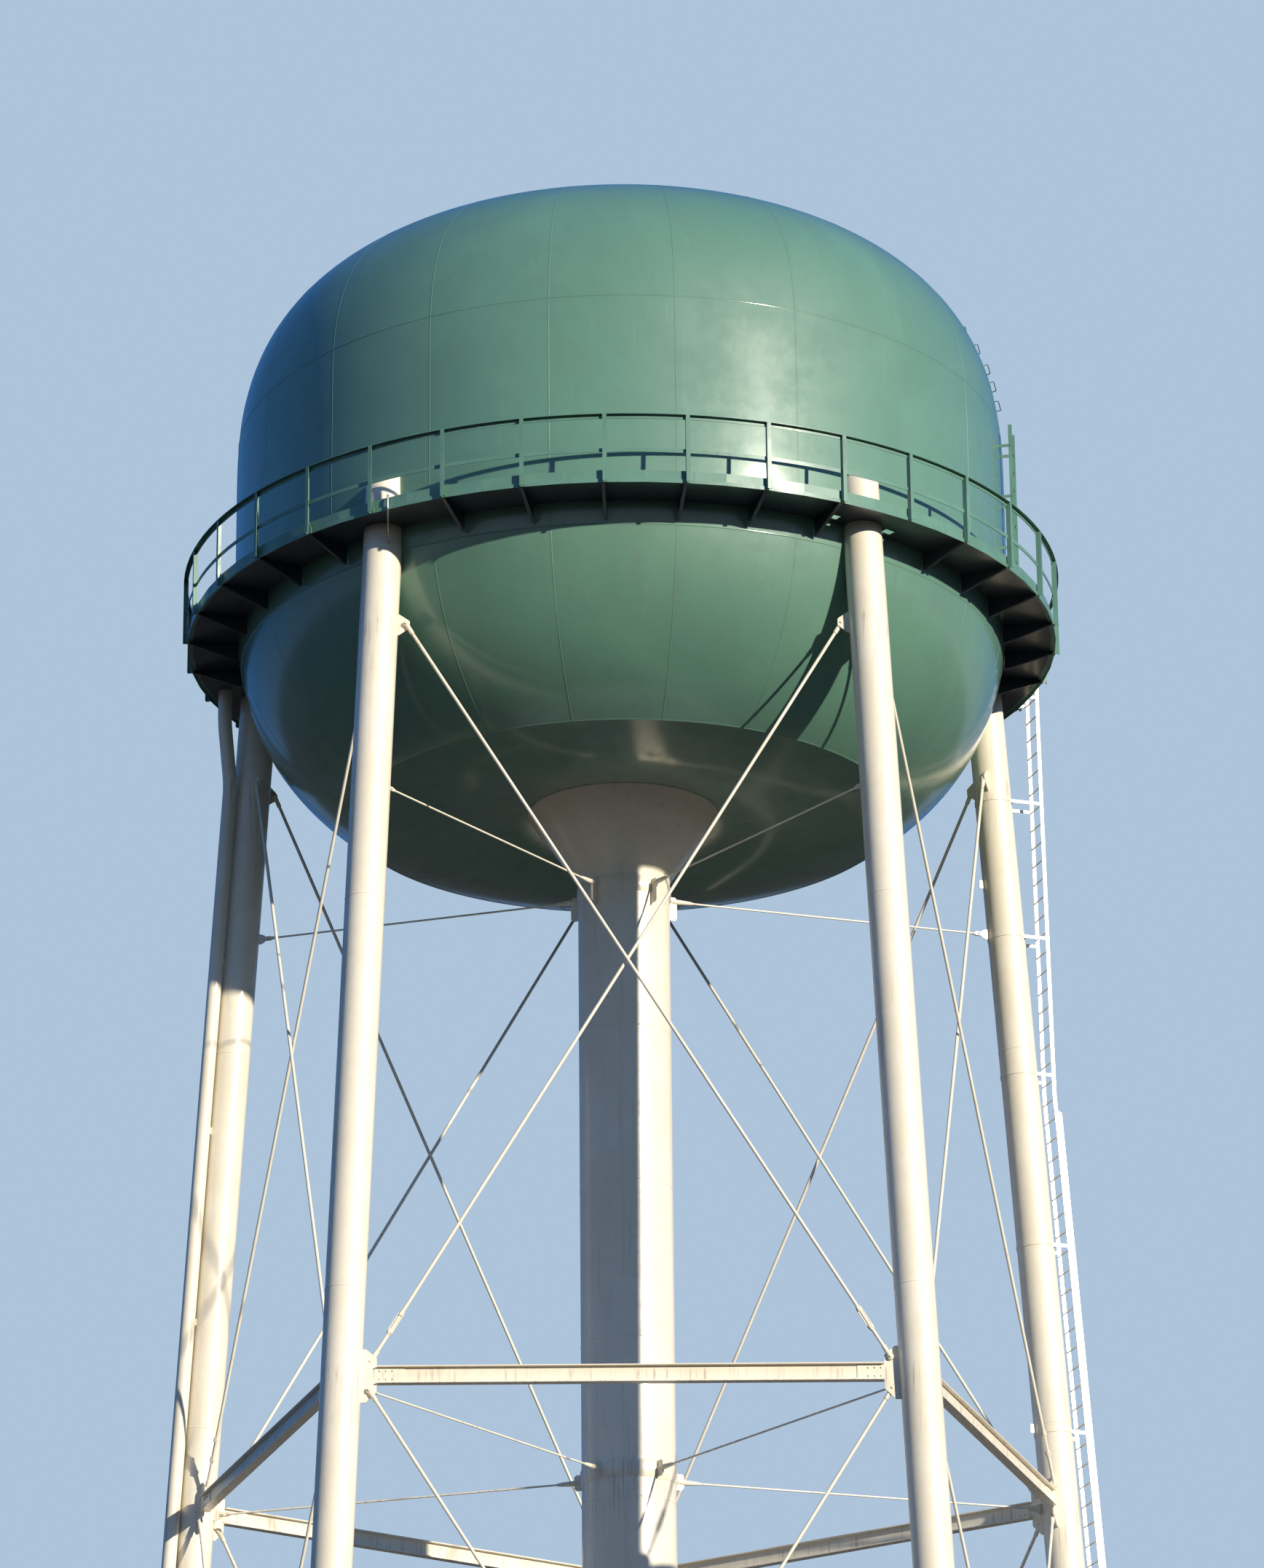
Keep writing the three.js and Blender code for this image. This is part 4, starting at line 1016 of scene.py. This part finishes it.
def turnbuckle(rod, middle, direction, normal):
    """Two side bars between the nuts that the rod's ends screw into."""
    side = direction.cross(normal)
    for hand in (-1, 1):
        bar = aimed(middle + side * hand * 0.034, direction, normal)
        rod.plate(rectangle(0.03, 0.014), 0.3, bar)
        rod.cylinder(middle + direction * (hand * 0.15 - 0.03), direction, 0.042, 0.06, 6)
        rod.cylinder(middle + direction * hand * 0.18, direction * hand, 0.034, 0.022, 6)


def dress_sides():
    strut = strut_shape()
    upper = (TOP_LUG_LEVEL, STRUT_LEVEL + PIN_ABOVE_STRUT)
    lower = (STRUT_LEVEL - PIN_BELOW_STRUT, FOOT_LUG_LEVEL)
    rods = {}
    for name, pins in (("upper", upper), ("lower", lower)):
        for letter, hand in (("a", 1), ("b", -1)):
            rods[name, letter] = rod_shape(*pins, hand)
    for n in range(1, LEG_COUNT + 1):
        place = turned(LEG_STEP * (n - 1))
        strut.at(place).made(f"strut_beam_{n}", CREAM, "leg_paint", [f"strut_{n}"])
        for (name, letter), rod in rods.items():
            rod.at(place).made(f"{name}_brace_{n}{letter}", CREAM, "leg_paint", [f"{name}_rod_{n}{letter}"])


def riser_lug(low, high):
    """A plate on a collar, as (distance outwards, height), with its outer corners cut."""
    root, tip = -COLLAR_WALL - 0.002, RISER_LUG_REACH
    lower = [(root, low), (tip - 0.03, low), (tip, low + 0.04)]
    return [*lower, (tip, high - 0.03), (tip - 0.03, high), (root, high)]


def tie(ties, level, lug, azimuth, outer, reach):
    """One level rod, from its lug on the collar to a fork over the leg's lug."""
    out, side = outwards(azimuth)
    ties.upright_plate(riser_lug(*lug), 0.02, aimed(polar(azimuth, outer, level), side, out))
    end = outer + CLEVIS_LENGTH
    clevis = [(outer + 0.04, 0.034), (outer + 0.16, 0.042), (end, 0.03), (end + 0.06, 0.02)]
    frames = [(polar(azimuth, r, level), side * w, Vector((0, 0, w))) for r, w in clevis]
    ties.sweep(circle(1, 20), frames)
    ties.cylinder(polar(azimuth, outer + 0.07, level), out, TIE_RADIUS, reach - outer - 0.11, 16)
    for r in (outer + 0.09, reach - 0.05):
        ties.cylinder(polar(azimuth, r, level) - side * 0.045, side, 0.016, 0.09, 12)
    for hand in (-1, 1):
        fork = aimed(polar(azimuth, reach - 0.05, level) + side * hand * 0.017, side, out)
        ties.plate(rectangle(0.11, 0.06), 0.009, fork)
    ties.cylinder(polar(azimuth, reach - 0.1, level), -out, 0.026, 0.05, 14)


def dress_ties(level, lug, name, node):
    """Level rods from the lugs of a collar on the riser to the lugs on the legs."""
    inner, outer = RISER_RADIUS + SEAT_GAP, RISER_RADIUS + COLLAR_WALL
    low, high, bevel = level - COLLAR_HEIGHT / 2, level + COLLAR_HEIGHT / 2, COLLAR_BEVEL
    ties = Shape()
    ties.lathe([(inner, low), (outer, low + bevel), (outer, high - bevel), (inner, high)], RISER_SIDES)
    reach = leg_circle(level) - LEG_RADIUS - TIE_LUG_REACH - SEAT_GAP
    for n in range(1, LEG_COUNT + 1):
        tie(ties, level, lug, leg_azimuth(n), outer, reach)
    ties.made(name, CREAM, "leg_paint", [node])


# Balcony


def post_azimuth(i):
    return FIRST_POST + BAY_STEP * i


def near_leg(azimuth):
    from_leg = (azimuth + LEG_STEP / 2) % LEG_STEP
    return min(from_leg, LEG_STEP - from_leg) < BAY_STEP / 2 - 1


def flat_radius(azimuth, radius):
    """The radius of the floor's many-sided edge at an azimuth."""
    half = 180 / FLOOR_SIDES
    off = (azimuth - FIRST_POST) % (2 * half) - half
    return radius * math.cos(math.radians(half)) / math.cos(math.radians(off))


def ring_plate(shape, inner, outer, low, high, azimuths):
    """A level plate over a run of azimuths, between two many-sided radii."""
    section = [(0, low), (1, low), (1, high), (0, high)]
    frames = []
    for azimuth in azimuths:
        a, b = flat_radius(azimuth, inner), flat_radius(azimuth, outer)
        frames.append((polar(azimuth, a, 0), polar(azimuth, b - a, 0), Vector((0, 0, 1))))
    shape.sweep(section, frames)


def floor_corners():
    return [FIRST_POST + 360 / FLOOR_SIDES * k for k in range(FLOOR_SIDES + 1)]


def floor_cuts():
    """Runs of azimuths of the floor, and whether each has a slot through it."""
    marks = sorted({*floor_corners(), *[v for slot in FLOOR_SLOTS for v in slot]})
    for a, b in zip(marks, marks[1:]):
        yield a, b, any(low <= (a + b) / 2 <= high for low, high in FLOOR_SLOTS)


def dress_balcony():
    under, rim = FLOOR_TOP - FLOOR_PLATE, FLOOR_RADIUS
    inner, outer = TANK_RADIUS - 0.07, rim - FLOOR_PLATE
    floor = Shape()
    for a, b, slotted in floor_cuts():
        for low, high in [(inner, SLOT_INNER), (SLOT_OUTER, outer)] if slotted else [(inner, outer)]:
            ring_plate(floor, low, high, under, FLOOR_TOP, [a, b])
    for i in range(BAY_COUNT):
        if not near_leg(post_azimuth(i)):
            rib(floor, post_azimuth(i))
    # The floor plates and brackets take near-black paint, a painted shade for the underside of the balcony.
    floor.made("walkway_plates", WALKWAY_SHADE, "rail_paint", ["balcony_floor"], 25)

    edge = Shape()
    back, toe = rim - LIP_WIDTH, rim - TOE_INSET
    lip = [(back, under - 0.001), (outer, under - 0.001), (outer, BALCONY)]
    lip += [(rim, BALCONY), (rim, FLOOR_TOP), (back, FLOOR_TOP - 0.001)]
    edge.lathe(lip, FLOOR_SIDES, FIRST_POST)
    corners = floor_corners()
    for a, b in zip(corners, corners[1:]):
        for low, high in outside(a, b, gate_edges()):
            ring_plate(edge, toe - TOE_PLATE, toe, FLOOR_TOP - 0.002, TOE_TOP, [low, high])
    edge.made("balcony_edge", RAIL, "rail_paint", (), 25)


def gate_edges():
    """The azimuths between which the toe board is cut for the ladder."""
    middle = leg_azimuth(LADDER_LEG)
    half = math.degrees(GATE_HALF / FLOOR_RADIUS)
    return middle - half, middle + half


def outside(a, b, gate):
    """What is left of a run of azimuths once the gate is cut out of it."""
    low, high = gate
    if b <= low or a >= high:
        return [(a, b)]
    return [(x, y) for x, y in ((a, min(b, low)), (max(a, high), b)) if y - x > 0.01]


def rib(floor, azimuth):
    """A bracket under the floor, with a narrow flange along its lower edge."""
    out, side = outwards(azimuth)
    root, tip = TANK_RADIUS - 0.06, FLOOR_RADIUS - 0.03
    under, foot = FLOOR_TOP - FLOOR_PLATE + 0.001, BALCONY - RIB_DEPTH
    outline = [(root, under), (root, foot), (root + 0.06, foot), (tip, BALCONY + 0.002), (tip, under)]
    floor.upright_plate(outline, RIB_PLATE, aimed((0, 0, 0), side, out))
    low, high = polar(azimuth, root + 0.04, foot + 0.004), polar(azimuth, tip, BALCONY + 0.004)
    up = (high - low).normalized().cross(side)
    floor.sweep(rectangle(*RIB_FLANGE), [(low, side, up), (high, side, up)])


# Handrail


def rail_bay(shape, section, height, a, b):
    """A rolled rail between two azimuths, its section as (distance inwards, distance down)."""
    down = Vector((0, 0, -1))
    frames = []
    for azimuth in spread(a, b, RAIL_STEPS):
        frames.append((polar(azimuth, RAIL_OUTSIDE, BALCONY + height), -polar(azimuth, 1, 0), down))
    shape.sweep(section, frames)


def post(shape, azimuth):
    """An angle post, one leg on edge and one along the rail, with a gusset and a bolt at its foot."""
    out, side = outwards(azimuth)
    inner, outer = FLOOR_RADIUS - 0.0005, RAIL_OUTSIDE - 0.001
    web, flange, face = POST_PLATE / 2, POST_FLANGE - POST_PLATE / 2, outer - POST_PLATE
    angle = [(-web, inner), (web, inner), (web, face), (flange, face), (flange, outer), (-web, outer)]
    levels = (BALCONY, BALCONY + RAIL_HEIGHT - 0.001)
    shape.sweep(angle, [(Vector((0, 0, z)), side, out) for z in levels])
    gusset = [(-0.032, -0.1), (0.03, -0.1), (0.03, -0.02), (-0.02, 0.1), (-0.032, 0.1)]
    foot = polar(azimuth, inner + 0.005, BALCONY + 0.1) + side * 0.035
    shape.upright_plate(gusset, 0.01, aimed(foot, out, side))
    shape.bolt(polar(azimuth, inner + 0.01, BALCONY + 0.03) + side * 0.043, out, 0.009)


def dress_handrail():
    s, p, m = RAIL_SIZE, RAIL_PLATE, MID_RAIL_SIZE
    top = [(0, 0), (s, 0), (s, s), (s - p, s), (s - p, p), (0, p)]
    middle = [(s - p, 0), (s, 0), (s, m), (s - p, m)]
    for n in range(1, LEG_COUNT + 1):
        length = Shape()
        for i in range(BAYS_A_LENGTH * (n - 1), BAYS_A_LENGTH * n):
            azimuth = post_azimuth(POST_AFTER_GATE + i)
            post(length, azimuth)
            if i < BAY_COUNT - 1:
                rail_bay(length, top, RAIL_HEIGHT, azimuth, azimuth + BAY_STEP)
                rail_bay(length, middle, MID_RAIL_HEIGHT, azimuth, azimuth + BAY_STEP)
        length.made(f"rail_length_{n}", RAIL, "rail_paint", [f"handrail_{n}"], 25)


# Ladders


def point_along(line, distance):
    """The (radius, height) at a distance along a line."""
    for (r0, z0), (r1, z1) in zip(line, line[1:]):
        length = math.dist((r0, z0), (r1, z1))
        if distance <= length:
            t = distance / length
            return r0 + (r1 - r0) * t, z0 + (z1 - z0) * t
        distance -= length
    return line[-1]


def ladder(shape, line, azimuth, last_rung):
    """Two flat side bars along a line of (radius, height), with round rungs up to a level."""
    side = polar(azimuth + 90, 1, 0)
    for hand in (-1, 1):
        frames = []
        for (r, z), (nr, nz) in zip(line, normals_of(line)):
            place = polar(azimuth, r, z) + side * hand * LADDER_WIDTH / 2
            frames.append((place, side, polar(azimuth, nr, nz)))
        shape.sweep(rectangle(LADDER_BAR, LADDER_DEPTH), frames)
    end = sum(math.dist(a, b) for a, b in zip(line, line[1:])) - 0.1
    at = RUNG_STEP * 0.6
    while at < end:
        r, z = point_along(line, at)
        if z > last_rung:
            return
        start = polar(azimuth, r, z) - side * (LADDER_WIDTH / 2 + RUNG_STUB)
        shape.cylinder(start, side, RUNG_RADIUS, LADDER_WIDTH + 2 * RUNG_STUB, 12)
        at += RUNG_STEP


def standoff(shape, r, z, reach, azimuth):
    """A pair of brackets from the side bars back to what carries the ladder."""
    out, side = outwards(azimuth)
    for hand in (-1, 1):
        middle = polar(azimuth, r - reach / 2, z) + side * hand * LADDER_WIDTH / 2
        shape.plate(rectangle(reach, STANDOFF_HEIGHT), STANDOFF_PLATE, aimed(middle, side, out))
        shape.bolt(polar(azimuth, r, z) + side * hand * (LADDER_WIDTH / 2 + 0.006), side * hand, 0.009)


def leg_standoff(shape, r, z, azimuth):
    """A pair of brackets, and the flat band round the leg that carries them."""
    standoff(shape, r, z, r - leg_circle(z) - STANDOFF_ROOT, azimuth)
    band = Shape()
    ring_on_leg(band, z, LEG_BAND)
    shape.copy(band, turned(azimuth))


def dress_leg_ladder():
    azimuth = leg_azimuth(LADDER_LEG)
    foot, bend = ((leg_circle(z) + LADDER_OFFSET, z) for z in (LADDER_FOOT, LADDER_BEND))
    straight = (LADDER_TOP_RADIUS, BALCONY - 0.5)
    climb = Shape()
    ladder(climb, [foot, bend, straight, (LADDER_TOP_RADIUS, BALCONY + 1.15)], azimuth, FLOOR_TOP + 0.02)
    standoff(climb, LADDER_TOP_RADIUS, BALCONY + 0.028, LADDER_TOP_RADIUS - FLOOR_RADIUS + 0.005, azimuth)
    for z in spread(LADDER_FOOT + 0.4, LOWER_STANDOFFS_TOP, 5):
        leg_standoff(climb, leg_circle(z) + LADDER_OFFSET, z, azimuth)
    for share in UPPER_STANDOFF_SHARES:
        r, z = (a + (b - a) * share for a, b in zip(bend, straight))
        leg_standoff(climb, r, z, azimuth)
    lapped_bar(climb, azimuth)
    climb.made("side_ladder", CREAM, "leg_paint", ["leg_ladder", "ladder_head"])


def lapped_bar(shape, azimuth):
    """A deeper flat on the outside of the front side bar, from below the bend down."""
    inner, outer, slant = -0.03, 0.085, 0.06
    side = polar(azimuth + 90, 1, 0)
    frames = []
    for z, tip in ((LADDER_FOOT, outer), (LADDER_LAP - slant, outer), (LADDER_LAP, inner + 0.02)):
        r = leg_circle(z) + LADDER_OFFSET
        bar = polar(azimuth, r, z) - side * (LADDER_WIDTH / 2 + LADDER_BAR + 0.001)
        frames.append((bar + polar(azimuth, inner, 0), side * LADDER_BAR, polar(azimuth, tip - inner, 0)))
    shape.sweep([(-0.5, 0), (0.5, 0), (0.5, 1), (-0.5, 1)], frames)


def dress_tank_ladder():
    azimuth = TANK_LADDER_AZIMUTH
    radius = TANK_RADIUS + TANK_LADDER_OFFSET
    climb = Shape()
    ladder(climb, [(radius, FLOOR_TOP + SEAT_GAP), (radius, TANK_LADDER_TOP)], azimuth, TANK_LADDER_TOP)
    for z in spread(FLOOR_TOP + 0.35, TANK_LADDER_TOP - 0.35, 3):
        standoff(climb, radius, z, TANK_LADDER_OFFSET + 0.01, azimuth)
    climb.made("upper_ladder", RAIL, "rail_paint", ["tank_ladder"])


def dress_roof_rungs():
    """Bent round bars up the roof, above the tank's ladder."""
    azimuth = TANK_LADDER_AZIMUTH
    across = polar(azimuth + 90, 1, 0) * ROOF_RUNG_HALF
    steps = Shape()
    roof = roof_line(60)
    travelled = 0.0
    for before, (r, z), (nr, nz) in zip(roof, roof[1:], normals_of(roof)):
        travelled += math.dist(before, (r, z))
        if travelled > RUNG_STEP and r > LAST_ROOF_RUNG:
            travelled = 0.0
            lift = polar(azimuth, nr, nz) * ROOF_RUNG_HEIGHT
            left, right = polar(azimuth, r, z) - across, polar(azimuth, r, z) + across
            steps.tube(rounded([left, left + lift, right + lift, right], 0.025, 4), ROOF_RUNG_RADIUS, 10)
    steps.made("roof_rungs", RAIL, "rail_paint")


# Overflow pipe


def pipe_route():
    """The pipe's corners, and the same run with its bends rounded."""
    azimuth = leg_azimuth(PIPE_LEG)
    beside = polar(-50, LEG_RADIUS + PIPE_RADIUS + 0.03, 0)
    points = [
        polar(PIPE_AZIMUTH, TANK_RADIUS - 0.02, PIPE_ENTRY),
        polar(PIPE_AZIMUTH, PIPE_DROP_RADIUS, PIPE_ENTRY),
        polar(PIPE_AZIMUTH, PIPE_DROP_RADIUS, BALCONY - 0.5),
        leg_point(BALCONY - 1.5, azimuth) + beside,
        leg_point(0.9, azimuth) + beside,
        leg_point(0.5, azimuth) + beside + polar(azimuth, 0.33, 0),
    ]
    return points, rounded(points, 0.18, 8)


def dress_pipe():
    points, route = pipe_route()
    pipe = Shape()
    pipe.tube(route, PIPE_RADIUS, 32)
    high, low = points[3], points[4]
    way = (low - high).normalized()
    length = (low - high).length
    for at in (length * 0.66, length - 0.6):
        for hand in (-1, 1):
            pipe.cylinder(high + way * (at + hand * 0.004), way * hand, PIPE_RADIUS + 0.035, 0.018, 32)
    pipe.cylinder(points[0], points[1] - points[0], PIPE_RADIUS + 0.05, 0.03, 32)
    pipe.made("overflow_tube", CREAM, "leg_paint", ["overflow_pipe"])

    clips = Shape()
    azimuth = leg_azimuth(PIPE_LEG)
    for drop in PIPE_CLIP_DROPS:
        level = BALCONY - drop
        centre = high + (low - high) * ((high.z - level) / (high.z - low.z))
        pipe_clip(clips, centre, way, leg_point(level, azimuth))
    clips.made("pipe_clips", CREAM, "leg_paint")


def pipe_clip(shape, centre, way, leg):
    """A block welded between the pipe and the leg."""
    inward = squared(leg - centre, way)
    matrix = aimed(centre + inward * (PIPE_RADIUS + 0.015), way.cross(inward), inward)
    shape.plate(rectangle(0.07, 0.1), 0.05, matrix)


# Conduit on the left front leg, from the leg's head over the toe board and back into the leg


def leg_side(level, azimuth, turn, off=0.0):
    """A point on or off a leg's skin, a turn in degrees from its outward side."""
    return leg_point(level, azimuth) + polar(azimuth + turn, LEG_RADIUS + off, 0)


def dress_conduit():
    azimuth = leg_azimuth(CONDUIT_LEG)
    out = polar(azimuth + CONDUIT_TURN, 1, 0)
    head = leg_side(BALCONY + 0.29, azimuth, CONDUIT_TURN)
    over, under = (polar(CONDUIT_AZIMUTH, FLOOR_RADIUS + 0.02, BALCONY + up) for up in (0.23, -0.02))
    entry = leg_side(BALCONY - 0.27, azimuth, CONDUIT_TURN, -0.01)
    conduit = Shape()
    conduit.tube(rounded([head, over, under, entry], 0.05, 5), CONDUIT_RADIUS, 12)
    conduit.cylinder(head - out * 0.01, out, 0.03, 0.03, 16)
    conduit.made("conduit", ZINC, "leg_paint")


# Roof fittings


def dress_vent():
    """A short stack with slats round its opening, under a domed cowl."""
    foot = ROOF_SPRING + ROOF_RISE + SEAT_GAP
    stack = [(0, 0), (0.34, 0), (0.34, 0.015), (0.28, 0.015), (0.28, 0.14), (0.262, 0.14), (0.262, 0.28)]
    cowl = [(0.45, 0.235), (0.45, 0.265), (0.4, 0.33), (0.3, 0.38), (0.15, 0.41), (0, 0.42)]
    vent = Shape()
    vent.lathe([(r, foot + up) for r, up in [*stack, *cowl]], 64)
    for k in range(24):
        vent.plate(rectangle(0.02, 0.14), 0.008, aimed(polar(15 * k, 0.275, foot + 0.21), *outwards(15 * k)))
    for k in range(12):
        vent.bolt(polar(30 * k, 0.31, foot + 0.015), (0, 0, 1), 0.009)
    vent.made("vent_cowl", GREEN, "tank_paint", ["roof_vent"])


def dress_hatch():
    """A round neck with a hinged lid, at the head of the rungs."""
    top = ROOF_SPRING + ROOF_RISE + 0.12
    centre = polar(TANK_LADDER_AZIMUTH, 1.9, 0)
    neck = Shape()
    neck.lathe([(0, top - 0.45), (0.33, top - 0.45), (0.33, top - 0.02), (0, top - 0.02)], 48)
    lid = [(0, -0.02), (0.37, -0.02), (0.37, 0.005), (0.36, 0.018), (0, 0.02)]
    neck.lathe([(r, top + up) for r, up in lid], 48)
    hatch = neck.at(Matrix.Translation(centre))
    out, side = outwards(TANK_LADDER_AZIMUTH)
    hatch.cylinder(centre + Vector((0, 0, top)) - out * 0.37 - side * 0.1, side, 0.018, 0.2, 16)
    hatch.made("hatch_lid", GREEN, "tank_paint", ["roof_hatch"])


dress_tank()
dress_bell()
dress_riser()
dress_legs()
dress_sides()
dress_ties(UPPER_TIE_LEVEL, UPPER_RISER_LUG, "upper_ties", "upper_tie_rods")
dress_ties(LOWER_TIE_LEVEL, LOWER_RISER_LUG, "lower_ties", "lower_tie_rods")
dress_balcony()
dress_handrail()
dress_leg_ladder()
dress_tank_ladder()
dress_roof_rungs()
dress_pipe()
dress_conduit()
dress_vent()
dress_hatch()


# Stage, light and camera


def make_floor():
    """A plain pale disc under the tower."""
    mesh = bpy.data.meshes.new("ground")
    work = bmesh.new()
    bmesh.ops.create_circle(work, cap_ends=True, radius=GROUND_RADIUS, segments=128)
    work.to_mesh(mesh)
    work.free()
    floor = bpy.data.objects.new("ground", mesh)
    floor.location = (0, 0, -0.002)
    bpy.context.scene.collection.objects.link(floor)
    s = Surface("ground_pale", roughness=0.85)
    color = s.mixed(s.noise(0.8, 3.0), (0.6, 0.59, 0.57), (0.55, 0.54, 0.52))
    mesh.materials.append(s.finish(color))


def make_sun():
    data = bpy.data.lights.new("key_sun", "SUN")
    data.energy = SUN_STRENGTH
    data.color = SUN_COLOR
    data.angle = math.radians(SUN_WIDTH)
    sun = bpy.data.objects.new("key_sun", data)
    e = math.radians(SUN_ELEVATION)
    towards = polar(SUN_AZIMUTH, math.cos(e), math.sin(e))
    sun.rotation_euler = towards.to_track_quat("Z", "Y").to_euler()
    bpy.context.scene.collection.objects.link(sun)


def sky_bands(tree, share, marks):
    """A sky's colours from straight down, at 0, to straight up, at 1."""
    bands = tree.nodes.new("ShaderNodeValToRGB")
    tree.links.new(share, bands.inputs[0])
    ramp = bands.color_ramp.elements
    for element, (place, color) in zip(ramp, (marks[0], marks[-1])):
        element.position, element.color = place, (*color, 1)
    for place, color in marks[1:-1]:
        ramp.new(place).color = (*color, 1)
    return bands.outputs[0]


def share_up_to(tree, value, high):
    """0 to 1 for a value from -1 to a highest one."""
    share = tree.nodes.new("ShaderNodeMapRange")
    share.inputs["From Min"].default_value = -1.0
    share.inputs["From Max"].default_value = high
    tree.links.new(value, share.inputs["Value"])
    return share.outputs[0]


def make_world():
    """Soft blue light, palest at the horizon on the sun's side, over dim ground; a pale backdrop."""
    world = bpy.data.worlds.new("studio")
    bpy.context.scene.world = world
    world.use_nodes = True
    tree = world.node_tree
    tree.nodes.clear()
    direction = tree.nodes.new("ShaderNodeTexCoord").outputs["Generated"]
    height = tree.nodes.new("ShaderNodeSeparateXYZ")
    tree.links.new(direction, height.inputs[0])
    sunward = tree.nodes.new("ShaderNodeVectorMath")
    sunward.operation = "DOT_PRODUCT"
    tree.links.new(direction, sunward.inputs[0])
    sunward.inputs[1].default_value = polar(SUN_AZIMUTH, 1, 0)
    share = share_up_to(tree, height.outputs[2], 1.0)
    skies = tree.nodes.new("ShaderNodeMix")
    skies.data_type = "RGBA"
    tree.links.new(share_up_to(tree, sunward.outputs["Value"], SUNWARD_FROM), skies.inputs[0])
    for socket, horizon in ((6, AWAY_LIGHT), (7, SUNWARD_LIGHT)):
        marks = (GROUND_LIGHT, *horizon, TOP_LIGHT)
        tree.links.new(sky_bands(tree, share, marks), skies.inputs[socket])
    light = tree.nodes.new("ShaderNodeBackground")
    tree.links.new(skies.outputs[2], light.inputs["Color"])
    backdrop = tree.nodes.new("ShaderNodeBackground")
    backdrop.inputs["Color"].default_value = BACKDROP
    mix = tree.nodes.new("ShaderNodeMixShader")
    tree.links.new(tree.nodes.new("ShaderNodeLightPath").outputs["Is Camera Ray"], mix.inputs[0])
    tree.links.new(light.outputs[0], mix.inputs[1])
    tree.links.new(backdrop.outputs[0], mix.inputs[2])
    output = tree.nodes.new("ShaderNodeOutputWorld")
    tree.links.new(mix.outputs[0], output.inputs[0])


def make_camera():
    """The photograph's view: from far off and below the tower's foot, looking up."""
    data = bpy.data.cameras.new("camera")
    data.sensor_width = SENSOR
    data.lens = FOCAL_PIXELS * SENSOR / PHOTO_HEIGHT
    data.clip_start = 1.0
    data.clip_end = 1000.0
    yaw, pitch, roll = CAMERA_TURNS
    forward = Vector((math.sin(yaw) * math.cos(pitch), math.cos(yaw) * math.cos(pitch), math.sin(pitch)))
    right = Vector((math.cos(yaw), -math.sin(yaw), 0))
    up = right.cross(forward)
    right, up = right * math.cos(roll) + up * math.sin(roll), up * math.cos(roll) - right * math.sin(roll)
    matrix = Matrix((right, up, -forward)).transposed().to_4x4()
    matrix.translation = Vector(CAMERA_PLACE)
    camera = bpy.data.objects.new("camera", data)
    camera.matrix_world = matrix
    bpy.context.scene.collection.objects.link(camera)
    bpy.context.scene.camera = camera


make_floor()
make_sun()
make_world()
make_camera()
bpy.context.scene.view_settings.view_transform = "Standard"
